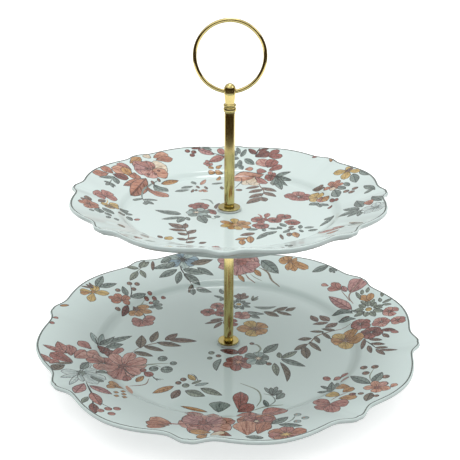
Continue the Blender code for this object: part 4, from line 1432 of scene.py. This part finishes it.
class STAND_OT_stage(bpy.types.Operator):
    """Floor, light, world and camera"""

    bl_idname = "stand.stage"
    bl_label = "Stage"

    def execute(self, context):
        colours = context.scene.stand_colours
        ready()
        bpy.ops.mesh.primitive_plane_add(size=40.0, location=(0.0, 0.0, 0.0))
        floor = context.object
        floor.name = "studio_floor"
        floor.data.materials.append(studio_floor_finish(colours))
        # the floor throws little light back up, so the undersides stay in shade
        floor.visible_diffuse = floor.visible_shadow = False
        # a white wall all round, seen past the floor's far edge
        bpy.ops.mesh.primitive_cylinder_add(
            vertices=128, radius=19.0, depth=24.0, location=(0.0, 0.0, 11.0)
        )
        bpy.ops.object.transform_apply(location=True, rotation=True, scale=True)
        wall = context.object
        wall.name = "white_wall"
        wall.data.materials.append(studio_wall_finish(colours))
        wall.visible_diffuse = wall.visible_glossy = False
        wall.visible_transmission = wall.visible_shadow = False
        # a dark screen round the camera's side, there only for the brass to mirror
        bpy.ops.mesh.primitive_cylinder_add(
            vertices=96, radius=0.62, depth=0.5, end_fill_type="NOTHING", location=(0.0, 0.0, 0.27)
        )
        card = context.object
        bpy.ops.object.transform_apply(location=True, rotation=True, scale=True)
        bpy.ops.object.mode_set(mode="EDIT")
        bpy.ops.mesh.select_all(action="SELECT")
        bpy.ops.mesh.bisect(plane_co=(0.0, 0.15, 0.0), plane_no=(0.0, 1.0, 0.0), clear_outer=True)
        bpy.ops.object.mode_set(mode="OBJECT")
        card.name = "brown_screen"
        card.data.materials.append(card_finish())
        card.visible_camera = card.visible_diffuse = card.visible_shadow = False
        # round soft lamps, all turned to the middle of the stand's foot
        aim = Vector((0.0, 0.0, 0.1))
        for name, place, size, watts in (
            ("key", (0.1, 0.25, 1.8), 0.7, 6.8),
            ("fill", (-0.5, -0.6, 1.5), 1.2, 2.5),
            ("side", (1.3, -0.3, 1.2), 0.8, 2.8),
        ):
            bpy.ops.object.light_add(type="AREA", location=place)
            lamp = context.object
            lamp.name = name
            lamp.data.shape = "DISK"
            lamp.data.size = size
            lamp.data.energy = watts
            lamp.rotation_euler = (aim - Vector(place)).to_track_quat("-Z", "Y").to_euler()
        world = bpy.data.worlds.new("studio")
        world.use_nodes = True
        tree = world.node_tree
        tree.nodes.clear()
        # brighter overhead than at the horizon
        sky = add_node(tree, "SeparateXYZ", [add_node(tree, "TexCoord").outputs["Generated"]])
        height = add_node(tree, "Math", [sky.outputs["Z"], 0.0], operation="MAXIMUM")
        strength = add_node(tree, "Math", [height, 0.74, 0.32], operation="MULTIPLY_ADD")
        background = add_node(tree, "Background", {"Color": (1.0, 1.0, 1.0, 1.0), "Strength": strength})
        add_node(tree, "OutputWorld", [background])
        context.scene.world = world
        context.scene.view_settings.view_transform = "Standard"
        camera = bpy.data.objects.new("camera", bpy.data.cameras.new("camera"))
        context.scene.collection.objects.link(camera)
        camera.data.lens = CAMERA_LENS
        camera.data.sensor_width = 36.0
        camera.data.dof.use_dof = False
        heading, tilt, roll = CAMERA_TURNS
        camera.matrix_world = (
            Matrix.Translation(CAMERA_PLACE)
            @ Matrix.Rotation(heading, 4, "Z")
            @ Matrix.Rotation(tilt, 4, "X")
            @ Matrix.Rotation(roll, 4, "Z")
        )
        context.scene.camera = camera
        return {"FINISHED"}


class STAND_OT_plates(bpy.types.Operator):
    """Lower and upper plates, glazed and printed"""

    bl_idname = "stand.plates"
    bl_label = "Plates"

    def execute(self, context):
        sizes = context.scene.stand_sizes
        inks = {name: (linear(light), linear(dark)) for name, (light, dark) in INKS.items()}
        line = tuple(context.scene.stand_colours.rim_line)
        inks["rim"] = (line, tuple(c * 0.8 for c in line))
        for node, body, plate, shapes in (
            ("lower_plate", "lower_tier", sizes.lower_plate, lower_print()),
            ("upper_plate", "upper_tier", sizes.upper_plate, upper_print()),
        ):
            name = "printed_" + node
            mesh = plate_mesh(name, plate, sizes, shapes, inks)
            piece = bpy.data.objects.new(name, mesh)
            context.scene.collection.objects.link(piece)
            mesh.materials.append(finishes()["glaze"])
            mesh.materials.append(finishes()["foot"])
            settle(piece, node, body, None, angle=0.0)
        return {"FINISHED"}


class STAND_OT_rods(bpy.types.Operator):
    """Two drawn brass tubes"""

    bl_idname = "stand.rods"
    bl_label = "Rods"

    def execute(self, context):
        sizes = context.scene.stand_sizes
        for node, body in (("lower_rod", "stem"), ("upper_rod", "upper_rod")):
            settle(rod_piece(node, sizes), node, body, finishes()["drawn"])
        return {"FINISHED"}


class STAND_OT_discs(bpy.types.Operator):
    """Brass discs under and over the plates"""

    bl_idname = "stand.discs"
    bl_label = "Discs"

    def execute(self, context):
        for node, body in (
            ("lower_rod_foot", "stem"),
            ("support_washer", "stem"),
            ("upper_rod_foot", "upper_tier"),
        ):
            low, high = (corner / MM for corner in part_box(node))
            piece = flat_ring(node + "_disc", high.x, STUD_HOLE, low.z, high.z - low.z, 0.4)
            settle(piece, node, body, finishes()["turned"])
        return {"FINISHED"}


class STAND_OT_gaskets(bpy.types.Operator):
    """Clear silicone gaskets"""

    bl_idname = "stand.gaskets"
    bl_label = "Gaskets"

    def execute(self, context):
        for node, body in (
            ("bottom_gasket", "stem"),
            ("lower_top_gasket", "stem"),
            ("upper_bottom_gasket", "upper_tier"),
            ("upper_top_gasket", "upper_tier"),
        ):
            low, high = (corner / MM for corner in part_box(node))
            piece = flat_ring(node + "_ring", high.x, STUD_HOLE, low.z, high.z - low.z, 0.3)
            settle(piece, node, body, finishes()["silicone"])
        return {"FINISHED"}


class STAND_OT_bottom_fixing(bpy.types.Operator):
    """Cross-headed screw and zinc washer under the lower plate"""

    bl_idname = "stand.bottom_fixing"
    bl_label = "Bottom Fixing"

    def execute(self, context):
        sizes = context.scene.stand_sizes
        low, high = (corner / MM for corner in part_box("bottom_washer"))
        washer = flat_ring("zinc_washer", high.x, STUD_HOLE, low.z, high.z - low.z, 0.2)
        settle(washer, "bottom_washer", "stem", finishes()["zinc"])
        low, high = (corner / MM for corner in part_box("bottom_screw"))
        head = low.z + 2.0
        # pan head: flat face, rounded shoulder, short straight side
        profile = [(1.0, low.z), (2.4, low.z + 0.02)]
        profile += arc((2.4, low.z + 1.2), (1.6, 1.18), -90.0, 0.0, 9)[1:]
        profile += [(4.0, head - 0.1), (3.9, head), (2.0, head)]
        radius, pitch = sizes.stud_radius / MM, sizes.thread_pitch / MM
        shank = stud_profile(head, high.z, radius, pitch)
        # the shank is chamfered at its tip only
        profile += [(radius if height < head + 1.0 else out, height) for out, height in shank[1:]]
        screw = lathe("pan_head_screw", profile, THREAD_SIDES * 2)
        cut_thread(screw, sizes, (head + 0.3) * MM, high.z * MM)
        cut_away(screw, cross_cutter(low.z, 1.2))
        settle(screw, "bottom_screw", "stem", finishes()["zinc"])
        return {"FINISHED"}


class STAND_OT_studs(bpy.types.Operator):
    """Threaded studs inside the rods, and the finish of the bushes that hold them"""

    bl_idname = "stand.studs"
    bl_label = "Studs and Bushes"

    def execute(self, context):
        sizes = context.scene.stand_sizes
        radius, pitch = sizes.stud_radius / MM, sizes.thread_pitch / MM
        for node, body in (("middle_stud", "stem"), ("finial_stud", "handle_carrier")):
            low, high = (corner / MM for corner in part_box(node))
            piece = lathe(node + "_thread", stud_profile(low.z, high.z, radius, pitch), THREAD_SIDES)
            cut_thread(piece, sizes, low.z * MM, high.z * MM)
            settle(piece, node, body, finishes()["zinc"])
        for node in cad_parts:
            if node.endswith("_bush"):
                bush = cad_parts[node]
                bush.data.materials.clear()
                bush.data.materials.append(finishes()["zinc"])
        return {"FINISHED"}


# the ring handle: height of its centre, and radius of the wire's centre line, in millimetres
RING_CENTRE = 214.6
RING_MEAN = 22.1


class STAND_OT_finial(bpy.types.Operator):
    """Turned finial, bored for the ring"""

    bl_idname = "stand.finial"
    bl_label = "Finial"

    def execute(self, context):
        sizes = context.scene.stand_sizes
        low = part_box("finial")[0].z / MM
        bore = sizes.stud_radius / MM + 0.15
        # domed head, fillet into the tapering neck, then two beads
        profile = [(0.05, low + 18.8)] + arc((0.0, low + 14.6), (3.85, 4.2), 88.0, 0.0, 18)
        profile += [(3.85, low + 12.7)] + arc((3.55, low + 12.6), (0.3, 0.3), 0.0, -40.0, 4)
        neck = ((3.62, 11.4), (3.4, 9.6), (3.2, 7.6), (3.08, 6.3), (3.05, 5.95))
        profile += [(radius, low + height) for radius, height in neck]
        profile += arc((3.05, low + 4.7), (1.2, 1.1), 84.0, -84.0, 14)
        profile += arc((3.3, low + 1.9), (0.95, 1.6), 84.0, -84.0, 16)
        profile += [(3.35, low + 0.12), (3.25, low), (bore + 0.3, low), (bore, low + 0.3)]
        profile += [(bore, low + 8.5), (0.05, low + 8.5)]
        piece = lathe("turned_finial", profile)
        cut_away(piece, ring_section("ring_bore", sizes.ring_wire / MM + 0.06, 0.0))
        settle(piece, "finial", "handle", finishes()["turned"], angle=35.0)
        return {"FINISHED"}


def ring_section(name, wire_radius, gap):
    """A round wire bent to a ring. Its butt joint, this many degrees wide, is at the bottom."""
    ready()
    turned = math.radians(gap / 2)
    place = (RING_MEAN * MM * math.sin(turned), 0.0, (RING_CENTRE - RING_MEAN * math.cos(turned)) * MM)
    bpy.ops.mesh.primitive_circle_add(
        vertices=32, radius=wire_radius * MM, location=place, rotation=(0.0, math.pi / 2 - turned, 0.0)
    )
    piece = bpy.context.object
    piece.name = piece.data.name = name
    bpy.ops.object.mode_set(mode="EDIT")
    bpy.ops.mesh.select_all(action="SELECT")
    if gap:
        bpy.ops.mesh.edge_face_add()
    centre = (0.0, 0.0, RING_CENTRE * MM)
    bpy.ops.mesh.spin(steps=180, angle=-math.radians(360.0 - gap), center=centre, axis=(0.0, 1.0, 0.0))
    bpy.ops.mesh.select_all(action="SELECT")
    bpy.ops.mesh.remove_doubles(threshold=WELD)
    bpy.ops.mesh.normals_make_consistent(inside=False)
    bpy.ops.object.mode_set(mode="OBJECT")
    return piece


class STAND_OT_ring(bpy.types.Operator):
    """Ring handle of bent brass wire"""

    bl_idname = "stand.ring"
    bl_label = "Ring Handle"

    def execute(self, context):
        piece = ring_section("ring_handle_wire", context.scene.stand_sizes.ring_wire / MM, 1.2)
        settle(piece, "ring_handle", "handle", finishes()["wire"], angle=40.0)
        return {"FINISHED"}


OPERATORS = (
    STAND_OT_stage,
    STAND_OT_plates,
    STAND_OT_rods,
    STAND_OT_discs,
    STAND_OT_gaskets,
    STAND_OT_bottom_fixing,
    STAND_OT_studs,
    STAND_OT_finial,
    STAND_OT_ring,
)


class STAND_PT_panel(bpy.types.Panel):
    """Lists the operators in building order"""

    bl_idname = "STAND_PT_panel"
    bl_label = "Cake Stand"
    bl_space_type = "VIEW_3D"
    bl_region_type = "UI"
    bl_category = "Cake Stand"

    def draw(self, context):
        for operator in OPERATORS:
            self.layout.operator(operator.bl_idname)


CLASSES = (PlateSizes, StandSizes, StandColours, *OPERATORS, STAND_PT_panel)


def register():
    for item in CLASSES:
        bpy.utils.register_class(item)
    bpy.types.Scene.stand_sizes = bpy.props.PointerProperty(type=StandSizes)
    bpy.types.Scene.stand_colours = bpy.props.PointerProperty(type=StandColours)


def unregister():
    del bpy.types.Scene.stand_colours
    del bpy.types.Scene.stand_sizes
    for item in reversed(CLASSES):
        bpy.utils.unregister_class(item)


def set_plate(plate, **millimetres):
    for key, value in millimetres.items():
        setattr(plate, key, math.radians(value) if key == "turn" else value * MM)


def main():
    register()
    sizes = bpy.context.scene.stand_sizes
    set_plate(sizes.lower_plate, turn=-9.8)
    set_plate(
        sizes.upper_plate,
        radius=105.0,
        turn=-1.9,
        well_radius=67.5,
        cove_width=8.0,
        cove_rise=3.6,
        marly_rise=11.8,
        wall=4.0,
        foot_radius=62.5,
        foot_depth=4.3,
        base=104.1,
    )
    for operator in OPERATORS:
        group, name = operator.bl_idname.split(".")
        getattr(getattr(bpy.ops, group), name)()


if __name__ == "__main__":
    main()
